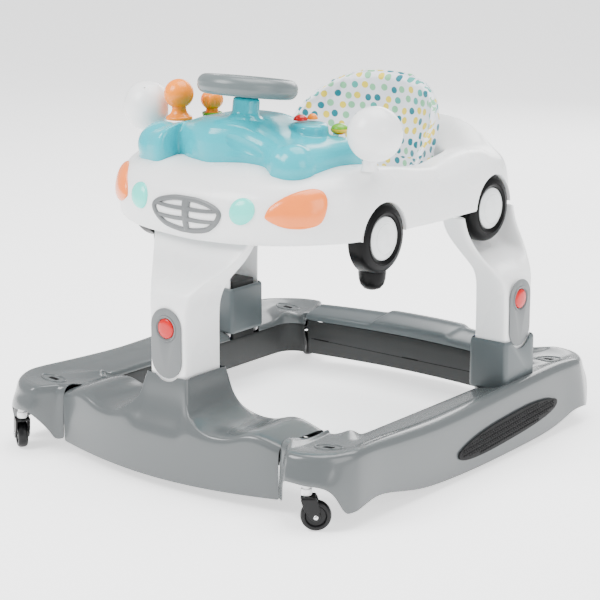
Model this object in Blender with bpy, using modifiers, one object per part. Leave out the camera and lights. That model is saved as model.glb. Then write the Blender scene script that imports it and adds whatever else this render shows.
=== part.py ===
"""Baby walker with a car-shaped tray, modelled as separate moulded pieces.

Frame: metres, +Z up, the car faces -Y, origin on the floor under the middle of the base.
"""
import bpy
import bmesh
from math import sin, cos, pi, radians, hypot
from mathutils import Vector, Matrix
from mathutils.bvhtree import BVHTree

# ---------------------------------------------------------------- driving dimensions
GAP = 0.0003                 # clearance between pieces that touch
SKIN = 0.003                 # wall of the grey base mouldings
PANEL = 0.0025               # wall of the white column mouldings and the dark liners

HALF_LENGTH = 0.382          # base, front to back
HALF_WIDTH = 0.345           # base, side to side
CORNER_RADIUS = 0.080        # plan radius of the four pods
SEAM_X = 0.2200              # where the side mouldings meet the end mouldings
SEAM_Y = 0.343               # outer face at that seam
INNER_X = 0.257              # inner edge of the side rails
INNER_FRONT_Y = 0.232        # inner edge of the front rail
INNER_REAR_Y = 0.276         # inner edge of the rear rail
RIM_Z = 0.094                # top of the inner edge all round
WEB_Z = 0.0775               # underside of the liner's floor
LINER_FOOT_Z = 0.030         # bottom of the liner's inner wall

FRONT_COLUMN = 0.337         # outward face of the front column, from the middle
SIDE_COLUMN = 0.315          # outward face of a side column
SIDE_COLUMN_Y = 0.149        # middle of a side column
COLUMN_FOOT = 0.0838         # lower end of the columns, resting in the sockets
SOCKET_TOP = 0.180
BUTTON_Z = 0.243
BUTTON_RADIUS = 0.0155
PLATE_THICKNESS = 0.002

CASTER_X = 0.290
CASTER_Y = 0.366
CASTER_TRAIL = 0.0135
WHEEL_RADIUS = 0.0225
WHEEL_WIDTH = 0.016
CASTER_HEADING = {"front_right": 38.5, "front_left": 145.0, "rear_left": -35.0, "rear_right": 215.0}

BODY_WIDTH = 0.241           # half width of the car body
BODY_FRONT = 0.292
BODY_REAR = 0.284
BODY_SEGMENTS = 36
LAMP_SEGMENTS = 20
SEAT_HOLE = (0.158, 0.122, 0.105)   # half width, half length and middle of the opening
TYRE_RADIUS = 0.055
HUB_RADIUS = 0.034
AXLE_Z = 0.3735
AXLE_FRONT_Y = -0.108
AXLE_REAR_Y = 0.184
TYRE_FACE_X = 0.236
TYRE_WIDTH = 0.030

TRAY_SPINE = (-0.120, 0.100, -0.130)    # ends and depth of the line that the tray's rings shrink to
TRAY_OUTLINE = [(0.163, -0.130), (0.162, -0.085), (0.152, -0.056), (0.100, -0.052), (0.050, -0.051), (0.0, -0.050),
                (-0.050, -0.051), (-0.100, -0.052), (-0.150, -0.054), (-0.176, -0.066), (-0.185, -0.105),
                (-0.186, -0.150), (-0.182, -0.190), (-0.165, -0.213), (-0.135, -0.2265), (-0.107, -0.234),
                (-0.098, -0.218), (-0.096, -0.198), (-0.075, -0.203), (-0.046, -0.2166), (-0.014, -0.2245),
                (0.015, -0.2166), (0.044, -0.2050), (0.0765, -0.2035), (0.098, -0.216), (0.114, -0.227),
                (0.134, -0.2265), (0.150, -0.218), (0.161, -0.203), (0.164, -0.173)]
TRAY_CLEARANCE = 0.0015      # between the tray's skirt and the deck

STEERING_CENTRE = (0.002, -0.147, 0.5865)
STEERING_TILT = 8.0
STEERING_RADIUS = 0.080
STEERING_RIM = (0.0135, 0.0165)     # half width and half height of the rim's section
DASH_TRAVEL = 0.003          # stroke of the two tray buttons
POD = (0.088, -0.103, 0.031, 0.5340)    # middle, radius and top of the pod that holds the two buttons
KNOB = (-0.162, -0.122)
ROLLER = (-0.136, -0.072)
BEAD = (0.120, -0.069)
RED_BUTTON = (0.075, -0.109)
ORANGE_BUTTON = (0.083, -0.0895)
MIRROR = (0.228, -0.125, 0.533)
MIRROR_STALK_X = 0.219
POST_WALL = 0.003            # wall of the hollow guide posts
POST_TOP = 0.187

COLOURS = {
    "grey": ((0.31, 0.33, 0.335), 0.30),
    "dark_grey": ((0.095, 0.105, 0.10), 0.45),
    "black": ((0.02, 0.02, 0.02), 0.45),
    "white": ((0.86, 0.87, 0.87), 0.30),
    "turquoise": ((0.075, 0.66, 0.76), 0.25),
    "aqua": ((0.34, 0.84, 0.75), 0.25),
    "orange_light": ((0.95, 0.42, 0.20), 0.25),
    "grille_grey": ((0.37, 0.39, 0.39), 0.35),
    "red": ((0.80, 0.03, 0.03), 0.30),
    "orange": ((0.93, 0.40, 0.03), 0.30),
    "green": ((0.33, 0.62, 0.10), 0.30),
    "steel": ((0.75, 0.75, 0.75), 0.25),
    "fabric": ((0.82, 0.82, 0.86), 0.90),
}


# ---------------------------------------------------------------- scene and helpers
def start_scene():
    for obj in list(bpy.data.objects):
        bpy.data.objects.remove(obj, do_unlink=True)
    parts = bpy.data.collections.new("baby_walker")
    cutters = bpy.data.collections.new("cutters")
    bpy.context.scene.collection.children.link(parts)
    bpy.context.scene.collection.children.link(cutters)
    return parts, cutters


PARTS, CUTTERS = start_scene()


def material(name):
    mat = bpy.data.materials.get(name)
    if mat is None:
        colour, roughness = COLOURS[name]
        mat = bpy.data.materials.new(name)
        mat.use_nodes = True
        shader = mat.node_tree.nodes["Principled BSDF"]
        shader.inputs["Base Color"].default_value = (*colour, 1.0)
        shader.inputs["Roughness"].default_value = roughness
        shader.inputs["Metallic"].default_value = 1.0 if name == "steel" else 0.0
    return mat


def collect(obj, name, colour=None, collection=None):
    for owner in list(obj.users_collection):
        owner.objects.unlink(obj)
    (collection or PARTS).objects.link(obj)
    obj.name = name
    if colour:
        obj.data.materials.clear()
        obj.data.materials.append(material(colour))
    return obj


def cutter(obj, name):
    collect(obj, name, collection=CUTTERS)
    obj.hide_render = True
    obj.display_type = "WIRE"
    return obj


def cylinder(radius, depth, centre, axis="Z", vertices=32, far_radius=None):
    rotation = {"X": (0, pi / 2, 0), "Y": (pi / 2, 0, 0), "Z": (0, 0, 0)}[axis]
    bpy.ops.mesh.primitive_cone_add(vertices=vertices, radius1=radius,
                                    radius2=radius if far_radius is None else far_radius,
                                    depth=depth, location=centre, rotation=rotation)
    return bpy.context.object


def box(low, high):
    size = [b - a for a, b in zip(low, high)]
    centre = [(a + b) / 2 for a, b in zip(low, high)]
    bpy.ops.mesh.primitive_cube_add(size=1.0, location=centre)
    obj = bpy.context.object
    obj.data.transform(Matrix.Diagonal((*size, 1.0)))
    return obj


def rounded(obj, width, segments=3, angle=30):
    bevel = obj.modifiers.new("edges", "BEVEL")
    bevel.width = width
    bevel.segments = segments
    bevel.limit_method = "ANGLE"
    bevel.angle_limit = radians(angle)
    return obj


def boolean(obj, other, operation="DIFFERENCE"):
    modifier = obj.modifiers.new(other.name, "BOOLEAN")
    modifier.operation = operation
    modifier.object = other
    modifier.solver = "EXACT"
    return obj


def shell(obj, thickness, even=True):
    modifier = obj.modifiers.new("wall", "SOLIDIFY")
    modifier.thickness = thickness
    modifier.offset = -1.0
    modifier.use_even_offset = even
    return obj


def sheet(rings, close_rings=False):
    """Open surface lofted through rows of points, rows of equal length."""
    mesh = bpy.data.meshes.new("sheet")
    bm = bmesh.new()
    rows = [[bm.verts.new(point) for point in ring] for ring in rings]
    count = len(rows[0])
    last = count if close_rings else count - 1
    for near, far in zip(rows, rows[1:]):
        for i in range(last):
            j = (i + 1) % count
            bm.faces.new((near[i], near[j], far[j], far[i]))
    bm.to_mesh(mesh)
    bm.free()
    obj = bpy.data.objects.new("sheet", mesh)
    bpy.context.scene.collection.objects.link(obj)
    mesh.shade_smooth()
    return obj


def solid_loft(rings):
    """Closed solid lofted through closed rings, its two ends filled flat."""
    obj = sheet(rings, close_rings=True)
    bm = bmesh.new()
    bm.from_mesh(obj.data)
    bmesh.ops.holes_fill(bm, edges=[e for e in bm.edges if e.is_boundary])
    bmesh.ops.recalc_face_normals(bm, faces=bm.faces)
    bm.to_mesh(obj.data)
    bm.free()
    return obj


def turned(profile, steps=20, ring=False):
    """Solid of revolution about Z; the profile runs down its outer side, and a ring's profile closes."""
    mesh = bpy.data.meshes.new("profile")
    edges = [(i, i + 1) for i in range(len(profile) - 1)]
    if ring:
        edges.append((len(profile) - 1, 0))
    mesh.from_pydata([(r, 0.0, z) for r, z in profile], edges, [])
    obj = bpy.data.objects.new("turned", mesh)
    bpy.context.scene.collection.objects.link(obj)
    screw = obj.modifiers.new("turn", "SCREW")
    screw.steps = steps
    screw.render_steps = steps
    screw.use_merge_vertices = True
    screw.merge_threshold = 0.00005
    return obj


def flat_outline(points, thickness):
    """Flat plate in the XY plane from a closed outline, made a mesh so that it can be cut."""
    curve = bpy.data.curves.new("outline", "CURVE")
    curve.dimensions = "2D"
    curve.fill_mode = "BOTH"
    curve.extrude = thickness / 2
    spline = curve.splines.new("POLY")
    spline.points.add(len(points) - 1)
    for target, (x, y) in zip(spline.points, points):
        target.co = (x, y, 0.0, 1.0)
    spline.use_cyclic_u = True
    drawn = bpy.data.objects.new("outline", curve)
    bpy.context.scene.collection.objects.link(drawn)
    bpy.context.view_layer.update()
    evaluated = drawn.evaluated_get(bpy.context.evaluated_depsgraph_get())
    mesh = bpy.data.meshes.new_from_object(evaluated)
    bm = bmesh.new()
    bm.from_mesh(mesh)
    bmesh.ops.remove_doubles(bm, verts=bm.verts, dist=0.00001)
    bm.to_mesh(mesh)
    bm.free()
    obj = bpy.data.objects.new("plate", mesh)
    bpy.context.scene.collection.objects.link(obj)
    bpy.data.objects.remove(drawn)
    return obj


def arc(centre, radius, start, end, steps):
    turn = [radians(start + (end - start) * i / steps) for i in range(steps + 1)]
    return [(centre[0] + radius * cos(a), centre[1] + radius * sin(a)) for a in turn]


def mix(a, b, t):
    return a + (b - a) * t


def table(stops, x):
    """Piecewise straight value of x through (x, value) stops."""
    if x <= stops[0][0]:
        return stops[0][1]
    for (x0, v0), (x1, v1) in zip(stops, stops[1:]):
        if x <= x1:
            return mix(v0, v1, (x - x0) / (x1 - x0))
    return stops[-1][1]


def bump(x, middle, half):
    """Smooth hill of height 1 at middle, 0 beyond half."""
    t = abs(x - middle) / half
    return 0.0 if t >= 1 else 0.5 + 0.5 * cos(pi * t)


def surface_of(obj):
    """Ray-cast tree of an object as its modifiers leave it."""
    bpy.context.view_layer.update()
    return BVHTree.FromObject(obj, bpy.context.evaluated_depsgraph_get())


def drop(surface, x, y):
    """Height of a surface under a point."""
    hit = surface.ray_cast(Vector((x, y, 1.0)), Vector((0, 0, -1)))[0]
    return hit.z


def perch(surface, x, y, radius):
    """Height at which a flat round foot clears a surface."""
    rim = [2 * pi * i / 24 for i in range(24)]
    spots = [(x + r * cos(a), y + r * sin(a)) for r in (0.0, 0.5 * radius, radius) for a in rim]
    return max(drop(surface, px, py) for px, py in spots) + GAP


# ---------------------------------------------------------------- base mouldings
def rail_section(inner, outer, inner_z, outer_z, foot_z, lip_z, dish=0.0, inset=0.0):
    """Half-round section over a rail, from its inner lip across the top to its outer foot."""
    ix, iy = inner
    ox, oy = outer
    width = hypot(ox - ix, oy - iy)
    ux, uy = (ox - ix) / width, (oy - iy) / width
    r_in, r_out = 0.006, 0.016

    def at(d, z):
        return (ix + ux * d, iy + uy * d, z)

    points = [at(0, lip_z), at(0, inner_z - r_in), at(r_in, inner_z)]
    for t in (0.35, 0.62):
        points.append(at(width * t, mix(inner_z, outer_z, t) - dish))
    crown = width - inset
    points += [at(crown - r_out, outer_z), at(crown - 0.3 * r_out, outer_z - 0.3 * r_out)]
    points += [at(crown, outer_z - r_out), at(width, mix(outer_z - r_out, foot_z, 0.25))]
    points.append(at(width, foot_z))
    return points


def side_outline():
    """Outer and inner edge of a side moulding in plan, from its front seam to its middle."""
    centre = (HALF_WIDTH - CORNER_RADIUS, -(HALF_LENGTH - CORNER_RADIUS))
    outer = [(SEAM_X + 0.0003, -SEAM_Y), (SEAM_X + 0.013, -SEAM_Y - 0.010), (SEAM_X + 0.018, -SEAM_Y - 0.015)]
    outer += arc(centre, CORNER_RADIUS, -96, -6, 6)
    outer += [(0.3435, -0.282), (0.3425, -0.255), (0.3435, -0.215)]
    outer += [(0.3445, -0.160), (HALF_WIDTH, -0.100), (HALF_WIDTH, -0.035)]
    inner = [(SEAM_X + d, -INNER_FRONT_Y) for d in (0.0003, 0.003, 0.006)]
    inner += arc((INNER_X - 0.030, -INNER_FRONT_Y + 0.030), 0.030, -85, -5, 6)
    inner += [(INNER_X, y) for y in (-0.195, -0.185, -0.170, -0.130, -0.090, -0.035)]
    return inner, outer


def side_foot(outer):
    """Height of a side moulding's lower edge at a point of its outline."""
    x, y = outer
    if abs(y) > 0.3385:
        stops = [(SEAM_X, 0.026), (SEAM_X + 0.014, 0.027), (SEAM_X + 0.019, 0.045), (SEAM_X + 0.026, 0.066),
                 (0.262, 0.072), (0.300, 0.069), (0.318, 0.066), (0.330, 0.052), (0.336, 0.028)]
        return table(stops, x)
    stops = [(-0.335, 0.025), (-0.318, 0.026), (-0.290, 0.033), (-0.262, 0.036), (-0.215, 0.027), (-0.170, 0.016),
             (-0.12, 0.011), (0.0, 0.008), (0.13, 0.010), (0.212, 0.013), (0.256, 0.021), (0.287, 0.031),
             (0.310, 0.030), (0.335, 0.025)]
    return table(stops, y)


def side_crown(outer):
    stops = [(-0.382, 0.112), (-0.30, 0.113), (-0.20, 0.109), (-0.10, 0.105), (0.05, 0.110), (0.17, 0.115),
             (0.28, 0.115), (0.35, 0.109), (0.382, 0.107)]
    return table(stops, outer[1])


def pod_height(outer):
    """How much of a pod's swelling a station has, 0 on the rail and 1 in the middle of a corner."""
    return bump(abs(outer[1]), 0.345, 0.075) if outer[0] > SEAM_X + 0.01 else 0.0


def side_stations():
    """Stations of a side moulding from its front seam round to its rear seam."""
    inner, outer = side_outline()
    front = list(zip(inner, outer))
    shift = INNER_REAR_Y - INNER_FRONT_Y
    rear = []
    for (ix, iy), (ox, oy) in front:
        keep = min(1.0, max(0.0, (-iy - 0.10) / 0.10))
        rear.append(((ix, -iy + shift * keep), (ox, -oy)))
    return front + rear[::-1]


def side_shell(side):
    rings = []
    for inner, outer in side_stations():
        pod = pod_height(outer)
        inner_z = RIM_Z + 0.012 * pod
        section = rail_section(inner, outer, inner_z, side_crown(outer), side_foot(outer),
                               RIM_Z - 0.010, dish=0.005 * pod, inset=0.004 + 0.006 * pod)
        rings.append([(side * x, y, z) for x, y, z in section])
    if side < 0:
        rings.reverse()
    obj = shell(sheet(rings), SKIN, even=False)
    name = "right_side_shell" if side > 0 else "left_side_shell"
    low = SIDE_COLUMN_Y - 0.0435
    high = SIDE_COLUMN_Y + 0.0435
    sleeve_in, sleeve_out = SIDE_COLUMN - 0.066, SIDE_COLUMN + 0.0055
    xs = sorted((side * sleeve_in, side * sleeve_out))
    sleeve = rounded(box((xs[0], low, RIM_Z - 0.002), (xs[1], high, SOCKET_TOP)), 0.007, 2)
    boolean(obj, cutter(sleeve, name + "_sleeve"), "UNION")
    xs = sorted((side * (sleeve_in + SKIN), side * (sleeve_out - SKIN)))
    hole = rounded(box((xs[0], low + SKIN, 0.05), (xs[1], high - SKIN, 0.21)), 0.0045, 2)
    boolean(obj, cutter(hole, name + "_hole"))
    notch = cylinder(0.026, 0.02, (side * (sleeve_out - 0.001), SIDE_COLUMN_Y, SOCKET_TOP + 0.010), "X")
    boolean(obj, cutter(notch, name + "_notch"))
    return collect(obj, name, "grey")


def front_shape(x):
    """Heights and depths of the front moulding's section at a distance x from the middle."""
    a = abs(x)
    hump = 0.013 * bump(a, 0.175, 0.055)
    flare = table([(0.0, 1.0), (0.041, 1.0), (0.0425, 0.80), (0.046, 0.56), (0.052, 0.36), (0.062, 0.19),
                   (0.078, 0.07), (0.10, 0.0)], a)
    crest = 0.104 + hump + (SOCKET_TOP - 0.104) * flare
    return hump, flare, crest


def front_outer(x):
    return -(HALF_LENGTH - 0.012) + 0.027 * (x / SEAM_X) ** 2


def front_shell():
    xs = [0.0, 0.030, 0.041, 0.0425, 0.047, 0.055, 0.068, 0.085, 0.11, 0.135, 0.155, 0.175, 0.195,
          SEAM_X - 0.0006]
    xs = [-x for x in xs[:0:-1]] + xs
    rings = []
    for x in xs:
        hump, flare, crest = front_shape(x)
        outer = front_outer(x)
        inner = -INNER_FRONT_Y
        face = mix(outer + 0.004, -(FRONT_COLUMN + 0.0055), flare)
        ledge = mix(crest, 0.108, flare)
        foot = 0.022 - 0.006 * cos(pi * x / (2 * SEAM_X))
        back = mix(inner, -(FRONT_COLUMN - 0.095), flare)
        ring = [(x, inner, RIM_Z - 0.010), (x, inner, RIM_Z - 0.004)]
        ring += [(x, mix(inner, back, 0.6) - 0.002, mix(RIM_Z, crest, 0.25)), (x, back - 0.006, crest - 0.003)]
        ring += [(x, back - 0.012, crest), (x, mix(back, face, 0.5), crest)]
        ring += [(x, face + 0.014, crest), (x, face + 0.004, crest - 0.004)]
        ring += [(x, mix(face, outer, 0.25), mix(crest, ledge, 0.80) - 0.010)]
        ring += [(x, mix(face, outer, 0.8), ledge - 0.016), (x, outer, 0.070), (x, outer + 0.0015, foot)]
        rings.append(ring)
    obj = shell(sheet(rings), SKIN)
    half = 0.0405
    hole = rounded(box((-half, -(FRONT_COLUMN + 0.0025), 0.06), (half, -(FRONT_COLUMN - 0.089), 0.25)), 0.0045, 2)
    boolean(obj, cutter(hole, "front_socket_hole"))
    notch = cylinder(0.027, 0.030, (0, -(FRONT_COLUMN + 0.006), SOCKET_TOP + 0.010), "Y")
    boolean(obj, cutter(notch, "front_socket_notch"))
    return collect(obj, "front_rail_shell", "grey")


def rear_outer(x):
    return (HALF_LENGTH - 0.008) - 0.031 * (x / SEAM_X) ** 2


def rear_inner(x):
    return INNER_REAR_Y + 0.018 * cos(pi * x / (2 * SEAM_X))


def rear_shell():
    xs = [0.0, 0.04, 0.078, 0.084, 0.12, 0.16, 0.195, SEAM_X - 0.0024]
    xs = [-x for x in xs[:0:-1]] + xs
    rings = []
    for x in xs:
        raised = 0.006 * table([(0.078, 1.0), (0.084, 0.0)], abs(x))
        rings.append(rail_section((x, rear_inner(x)), (x, rear_outer(x)), RIM_Z + 0.012 + raised, 0.114 + raised,
                                  0.026, RIM_Z, inset=0.006))
    rings.reverse()
    obj = shell(sheet(rings), SKIN)
    return collect(obj, "rear_rail_shell", "grey")


def liner_mesh(pairs, top_z):
    """Liner of L section: a wall along the inner edge with a floor standing off it."""
    rings = []
    up = Vector((0, 0, PANEL))
    for inner, outer, margin in pairs:
        inner, outer = Vector((*inner, 0)), Vector((*outer, 0))
        out = (outer - inner).normalized()
        root = inner + out * 0.0012 + Vector((0, 0, WEB_Z))
        foot = inner + out * 0.0052 + Vector((0, 0, LINER_FOOT_Z))
        crest = inner + out * 0.0012 + Vector((0, 0, top_z))
        reach = outer - out * margin + Vector((0, 0, WEB_Z))
        wall = out * PANEL
        rings.append([foot, root, crest, crest + wall, root + wall + up, reach + up, reach, root + wall, foot + wall])
    return solid_loft(rings)


def guide_post(low, high, name):
    """Hollow guide post that stands in a column, as a solid to add and a hollow to take away."""
    post = rounded(box((*low, WEB_Z + 0.001), (*high, POST_TOP)), 0.003, 2)
    inner_low = [value + POST_WALL for value in low]
    inner_high = [value - POST_WALL for value in high]
    hollow = box((*inner_low, WEB_Z - 0.01), (*inner_high, POST_TOP - POST_WALL))
    return cutter(post, name + "_post"), cutter(hollow, name + "_post_hollow")


def side_liner(side):
    name = "right_liner" if side > 0 else "left_liner"
    pairs = []
    for inner, outer in side_stations()[1:-1]:
        lean = 0.004 + 0.006 * pod_height(outer)
        margin = SKIN + 0.0015 + (lean if side_foot(outer) < 0.05 else 0.35 * lean)
        pairs.append(((side * inner[0], inner[1]), (side * outer[0], outer[1]), margin))
    obj = liner_mesh(pairs, RIM_Z - 0.0110)
    out_face, depth, half = SIDE_COLUMN - 0.013, 0.043, 0.029
    low_x, high_x = sorted((side * out_face, side * (out_face - depth)))
    post, hollow = guide_post((low_x, SIDE_COLUMN_Y - half), (high_x, SIDE_COLUMN_Y + half), name)
    boolean(obj, post, "UNION")
    boolean(obj, hollow)
    for y in (-CASTER_Y, CASTER_Y):
        hole = cylinder(0.0066, 0.03, (side * CASTER_X, y, WEB_Z), vertices=16)
        boolean(obj, cutter(hole, name + "_bush_hole"))
    return collect(obj, name, "dark_grey")


def front_liner():
    xs = [-SEAM_X + 0.004 + (2 * SEAM_X - 0.008) * i / 8 for i in range(9)]
    pairs = [((x, -INNER_FRONT_Y), (x, front_outer(x)), SKIN + 0.005) for x in xs]
    obj = liner_mesh(pairs, RIM_Z - 0.0110)
    out_face, depth, half = FRONT_COLUMN - 0.013, 0.060, 0.029
    post, hollow = guide_post((-half, -out_face), (half, -out_face + depth), "front_liner")
    boolean(obj, post, "UNION")
    boolean(obj, hollow)
    return collect(obj, "front_liner", "dark_grey")


def rear_liner():
    xs = [-SEAM_X + 0.004 + (2 * SEAM_X - 0.008) * i / 8 for i in range(9)]
    pairs = [((x, rear_inner(x)), (x, rear_outer(x)), SKIN + 0.008) for x in xs]
    return collect(liner_mesh(pairs, RIM_Z - 0.0015), "rear_liner", "dark_grey")


def grip_pad(side):
    """Textured pad on the outer face of a side rail, a long drop outline."""
    outline = []
    for i in range(32):
        t = 2 * pi * i / 32
        along = cos(t)
        half = 0.0205 * (1 - 0.30 * along * along) if sin(t) > 0 else 0.0195
        outline.append((0.143 * abs(along) ** 0.75 * (1 if along >= 0 else -1),
                        half * abs(sin(t)) ** 0.8 * (1 if sin(t) >= 0 else -1)))
    obj = flat_outline(outline, 0.0016)
    tilt = Matrix.Rotation(radians(4.0), 4, "Z")
    upright = Matrix.Rotation(pi / 2, 4, "X")
    turn = Matrix.Rotation(pi / 2, 4, "Z")
    spot = Matrix.Translation((side * (HALF_WIDTH + 0.0008 + GAP), 0.081, 0.0505))
    obj.data.transform(spot @ turn @ upright @ tilt)
    return collect(obj, ("right" if side > 0 else "left") + "_grip_pad", "black")


# ---------------------------------------------------------------- columns
def column_levels(front):
    """Rows of height, outward face, inner edge, low side, high side, scoop of a column."""
    if front:
        low = FRONT_COLUMN
        return [(COLUMN_FOOT, low, low - 0.078, -0.0365, 0.0365, 0.0),
                (0.262, low, low - 0.078, -0.0365, 0.0365, 0.0),
                (0.294, low - 0.006, low - 0.084, -0.041, 0.041, 0.0),
                (0.312, low - 0.022, low - 0.084, -0.054, 0.054, 0.0),
                (0.331, low - 0.046, low - 0.083, -0.073, 0.073, 0.0),
                (0.3525, low - 0.070, low - 0.088, -0.090, 0.090, 0.0),
                (0.385, low - 0.086, low - 0.098, -0.101, 0.101, 0.0)]
    low = SIDE_COLUMN
    y = SIDE_COLUMN_Y
    return [(COLUMN_FOOT, low, low - 0.056, y - 0.039, y + 0.039, 0.0),
            (0.265, low, low - 0.056, y - 0.039, y + 0.040, 0.0),
            (0.2917, low - 0.028, low - 0.063, y - 0.0395, y + 0.074, 0.012),
            (0.3150, low - 0.053, low - 0.085, y - 0.044, y + 0.097, 0.060),
            (0.3424, low - 0.072, low - 0.110, y - 0.049, y + 0.103, 0.042),
            (0.3690, low - 0.077, low - 0.118, y - 0.051, y + 0.103, 0.037)]


def column_ring(level):
    z, out, inn, low, high, scoop = level
    r = min(0.009, (out - inn) * 0.4)
    ring = [(inn, low), (mix(inn, out, 0.5), low), (out - r, low), (out - 0.3 * r, low + 0.3 * r), (out, low + r)]
    if scoop > 0.02:
        ring += [(out - scoop, AXLE_REAR_Y + d) for d in (-0.0600, -0.030, 0.030, 0.0605)]
    else:
        ring += [(out - scoop, mix(low + r, high - r, t)) for t in (0.2, 0.4, 0.6, 0.8)]
    ring += [(out, high - r), (out - 0.3 * r, high - 0.3 * r), (out - r, high), (mix(inn, out, 0.5), high), (inn, high)]
    return [(u, v, z) for u, v in ring]


def column(name, front, side=1):
    rings = [column_ring(level) for level in column_levels(front)]
    if front:
        placed = [[(v, -u, z) for u, v, z in ring] for ring in rings]
    else:
        placed = [[(side * u, v, z) for u, v, z in ring] for ring in rings[::side]]
    obj = shell(sheet(placed), PANEL)
    if front:
        hole = cylinder(BUTTON_RADIUS + 0.0006, 0.03, (0, -FRONT_COLUMN, BUTTON_Z), "Y")
    else:
        hole = cylinder(BUTTON_RADIUS + 0.0006, 0.03, (side * SIDE_COLUMN, SIDE_COLUMN_Y, BUTTON_Z), "X")
    boolean(obj, cutter(hole, name + "_button_hole"))
    return collect(obj, name, "white")


def plate_outline():
    half, low, high = 0.0300, 0.1655, 0.2745
    top = arc((0, high - half), half, 0, 180, 8)
    bottom = arc((0, low + half), half, 180, 360, 8)
    return top + bottom


def facing(direction, face, middle, height):
    """Place and turn of a flat piece that stands on a column's outward face."""
    spot = {"front": (middle, -face, height), "right": (face, middle, height), "left": (-face, middle, height)}
    turn = Matrix.Rotation({"front": 0, "right": pi / 2, "left": -pi / 2}[direction], 4, "Z")
    return Matrix.Translation(spot[direction]) @ turn @ Matrix.Rotation(pi / 2, 4, "X")


def button_plate(name, face, middle, direction):
    """Grey plate on a column's outward face with the hole for the release button."""
    obj = flat_outline(plate_outline(), PLATE_THICKNESS)
    hole = cylinder(BUTTON_RADIUS + 0.0006, 0.02, (0, BUTTON_Z, 0))
    boolean(obj, cutter(hole, name + "_hole"))
    obj.matrix_world = facing(direction, face + PLATE_THICKNESS / 2 + GAP, middle, 0)
    hole.parent = obj
    return collect(obj, name, "grille_grey")


def release_button(name, face, middle, direction):
    profile = [(0.0, 0.0052), (0.010, 0.0050), (0.0140, 0.0042), (BUTTON_RADIUS, 0.0026), (BUTTON_RADIUS, -0.0060),
               (0.0, -0.0060)]
    obj = turned(profile)
    obj.matrix_world = facing(direction, face, middle, BUTTON_Z)
    return collect(obj, name, "red")


# ---------------------------------------------------------------- casters
def caster(corner, x, y):
    heading = radians(CASTER_HEADING[corner])
    trail = (cos(heading), sin(heading))
    stem = bpy.data.objects.new(corner + "_swivel", None)
    PARTS.objects.link(stem)
    stem.location = (x, y, 0)
    bush = turned([(0.0040, 0.0840), (0.0062, 0.0840), (0.0062, 0.0630), (0.0079, 0.0630), (0.0079, 0.0535),
                   (0.0040, 0.0535)], 12, ring=True)
    bush.location = (x, y, 0)
    collect(bush, corner + "_bush", "white")

    pin_z = WHEEL_RADIUS
    fork = turned([(0.0, 0.0825), (0.0036, 0.0825), (0.0036, 0.0530), (0.0069, 0.0530), (0.0069, 0.0490),
                   (0.0, 0.0490)], 12)
    fork.location = (x, y, 0)
    half = WHEEL_WIDTH / 2 + 0.0008
    wheel_at = (x + trail[0] * CASTER_TRAIL, y + trail[1] * CASTER_TRAIL)
    spin = Matrix.Rotation(heading, 4, "Z")
    yoke = box((-0.0062, -half - 0.0025, 0.0475), (0.0120, half + 0.0025, 0.0503))
    yoke.matrix_world = Matrix.Translation((x, y, 0)) @ spin
    yoke.data.transform(Matrix.Translation((0.0029, 0, 0.0489)))
    boolean(fork, cutter(yoke, corner + "_yoke"), "UNION")
    for sign in (-1, 1):
        low, high = sorted((sign * half, sign * (half + 0.003)))
        arm = box((-0.0050, low, -0.0050), (0.0190, high, 0.0300))
        arm.data.transform(Matrix.Translation((0.0070, (low + high) / 2, 0.0125)))
        arm.matrix_world = Matrix.Translation((x, y, pin_z)) @ spin
        boolean(fork, cutter(arm, corner + "_arm"), "UNION")
    bore = cylinder(0.0021, 0.05, (0, 0, 0), "Y", 10)
    bore.matrix_world = Matrix.Translation((*wheel_at, pin_z)) @ spin @ Matrix.Rotation(pi / 2, 4, "X")
    boolean(fork, cutter(bore, corner + "_axle_hole"))
    fork.parent = stem
    fork.location = (0, 0, 0)
    collect(fork, corner + "_fork", "black")

    w = WHEEL_WIDTH / 2
    wheel = turned([(0.0024, w), (WHEEL_RADIUS - 0.003, w), (WHEEL_RADIUS, w - 0.004), (WHEEL_RADIUS, -w + 0.004),
                    (WHEEL_RADIUS - 0.003, -w), (0.0024, -w)], 20, ring=True)
    wheel.matrix_world = Matrix.Translation((*wheel_at, pin_z)) @ spin @ Matrix.Rotation(pi / 2, 4, "X")
    collect(wheel, corner + "_wheel", "black")

    reach = half + 0.003 + GAP
    pin = turned([(0.0, reach + 0.0012), (0.0031, reach + 0.0006), (0.0031, reach), (0.0018, reach),
                  (0.0018, -reach), (0.0031, -reach), (0.0031, -reach - 0.0006), (0.0, -reach - 0.0012)], 10)
    pin.matrix_world = wheel.matrix_world.copy()
    collect(pin, corner + "_axle_pin", "steel")


# ---------------------------------------------------------------- car body
def body_plan(angle, grow=0.0):
    """Point of the car's plan outline; angle 0 is +X, 270 degrees is the nose."""
    c, s = cos(angle), sin(angle)
    length = (BODY_FRONT if s < 0 else BODY_REAR) + grow
    power = 2 / (2.7 if s < 0 else 4.2)
    x = (BODY_WIDTH + grow) * abs(c) ** power * (1 if c >= 0 else -1)
    y = length * abs(s) ** power * (1 if s >= 0 else -1)
    flare = 0.014 * bump(y, -0.155, 0.085) + 0.009 * bump(y, 0.215, 0.100)
    return x + (flare if x > 0 else -flare) * min(1.0, abs(x) / 0.18), y


def body_rim(y):
    """Height of the body's shoulder along its side."""
    return table([(-0.29, 0.452), (-0.20, 0.462), (-0.11, 0.468), (-0.02, 0.456), (0.055, 0.446), (0.12, 0.455),
                  (0.17, 0.458), (0.22, 0.452), (0.29, 0.455)], y)


def seat_hole_plan(angle, grow=0.0):
    half_x, half_y, middle = SEAT_HOLE
    c, s = cos(angle), sin(angle)
    x = (half_x + grow) * abs(c) ** 0.8 * (1 if c >= 0 else -1)
    y = middle + (half_y + grow) * abs(s) ** 0.8 * (1 if s >= 0 else -1)
    return x, y


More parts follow.
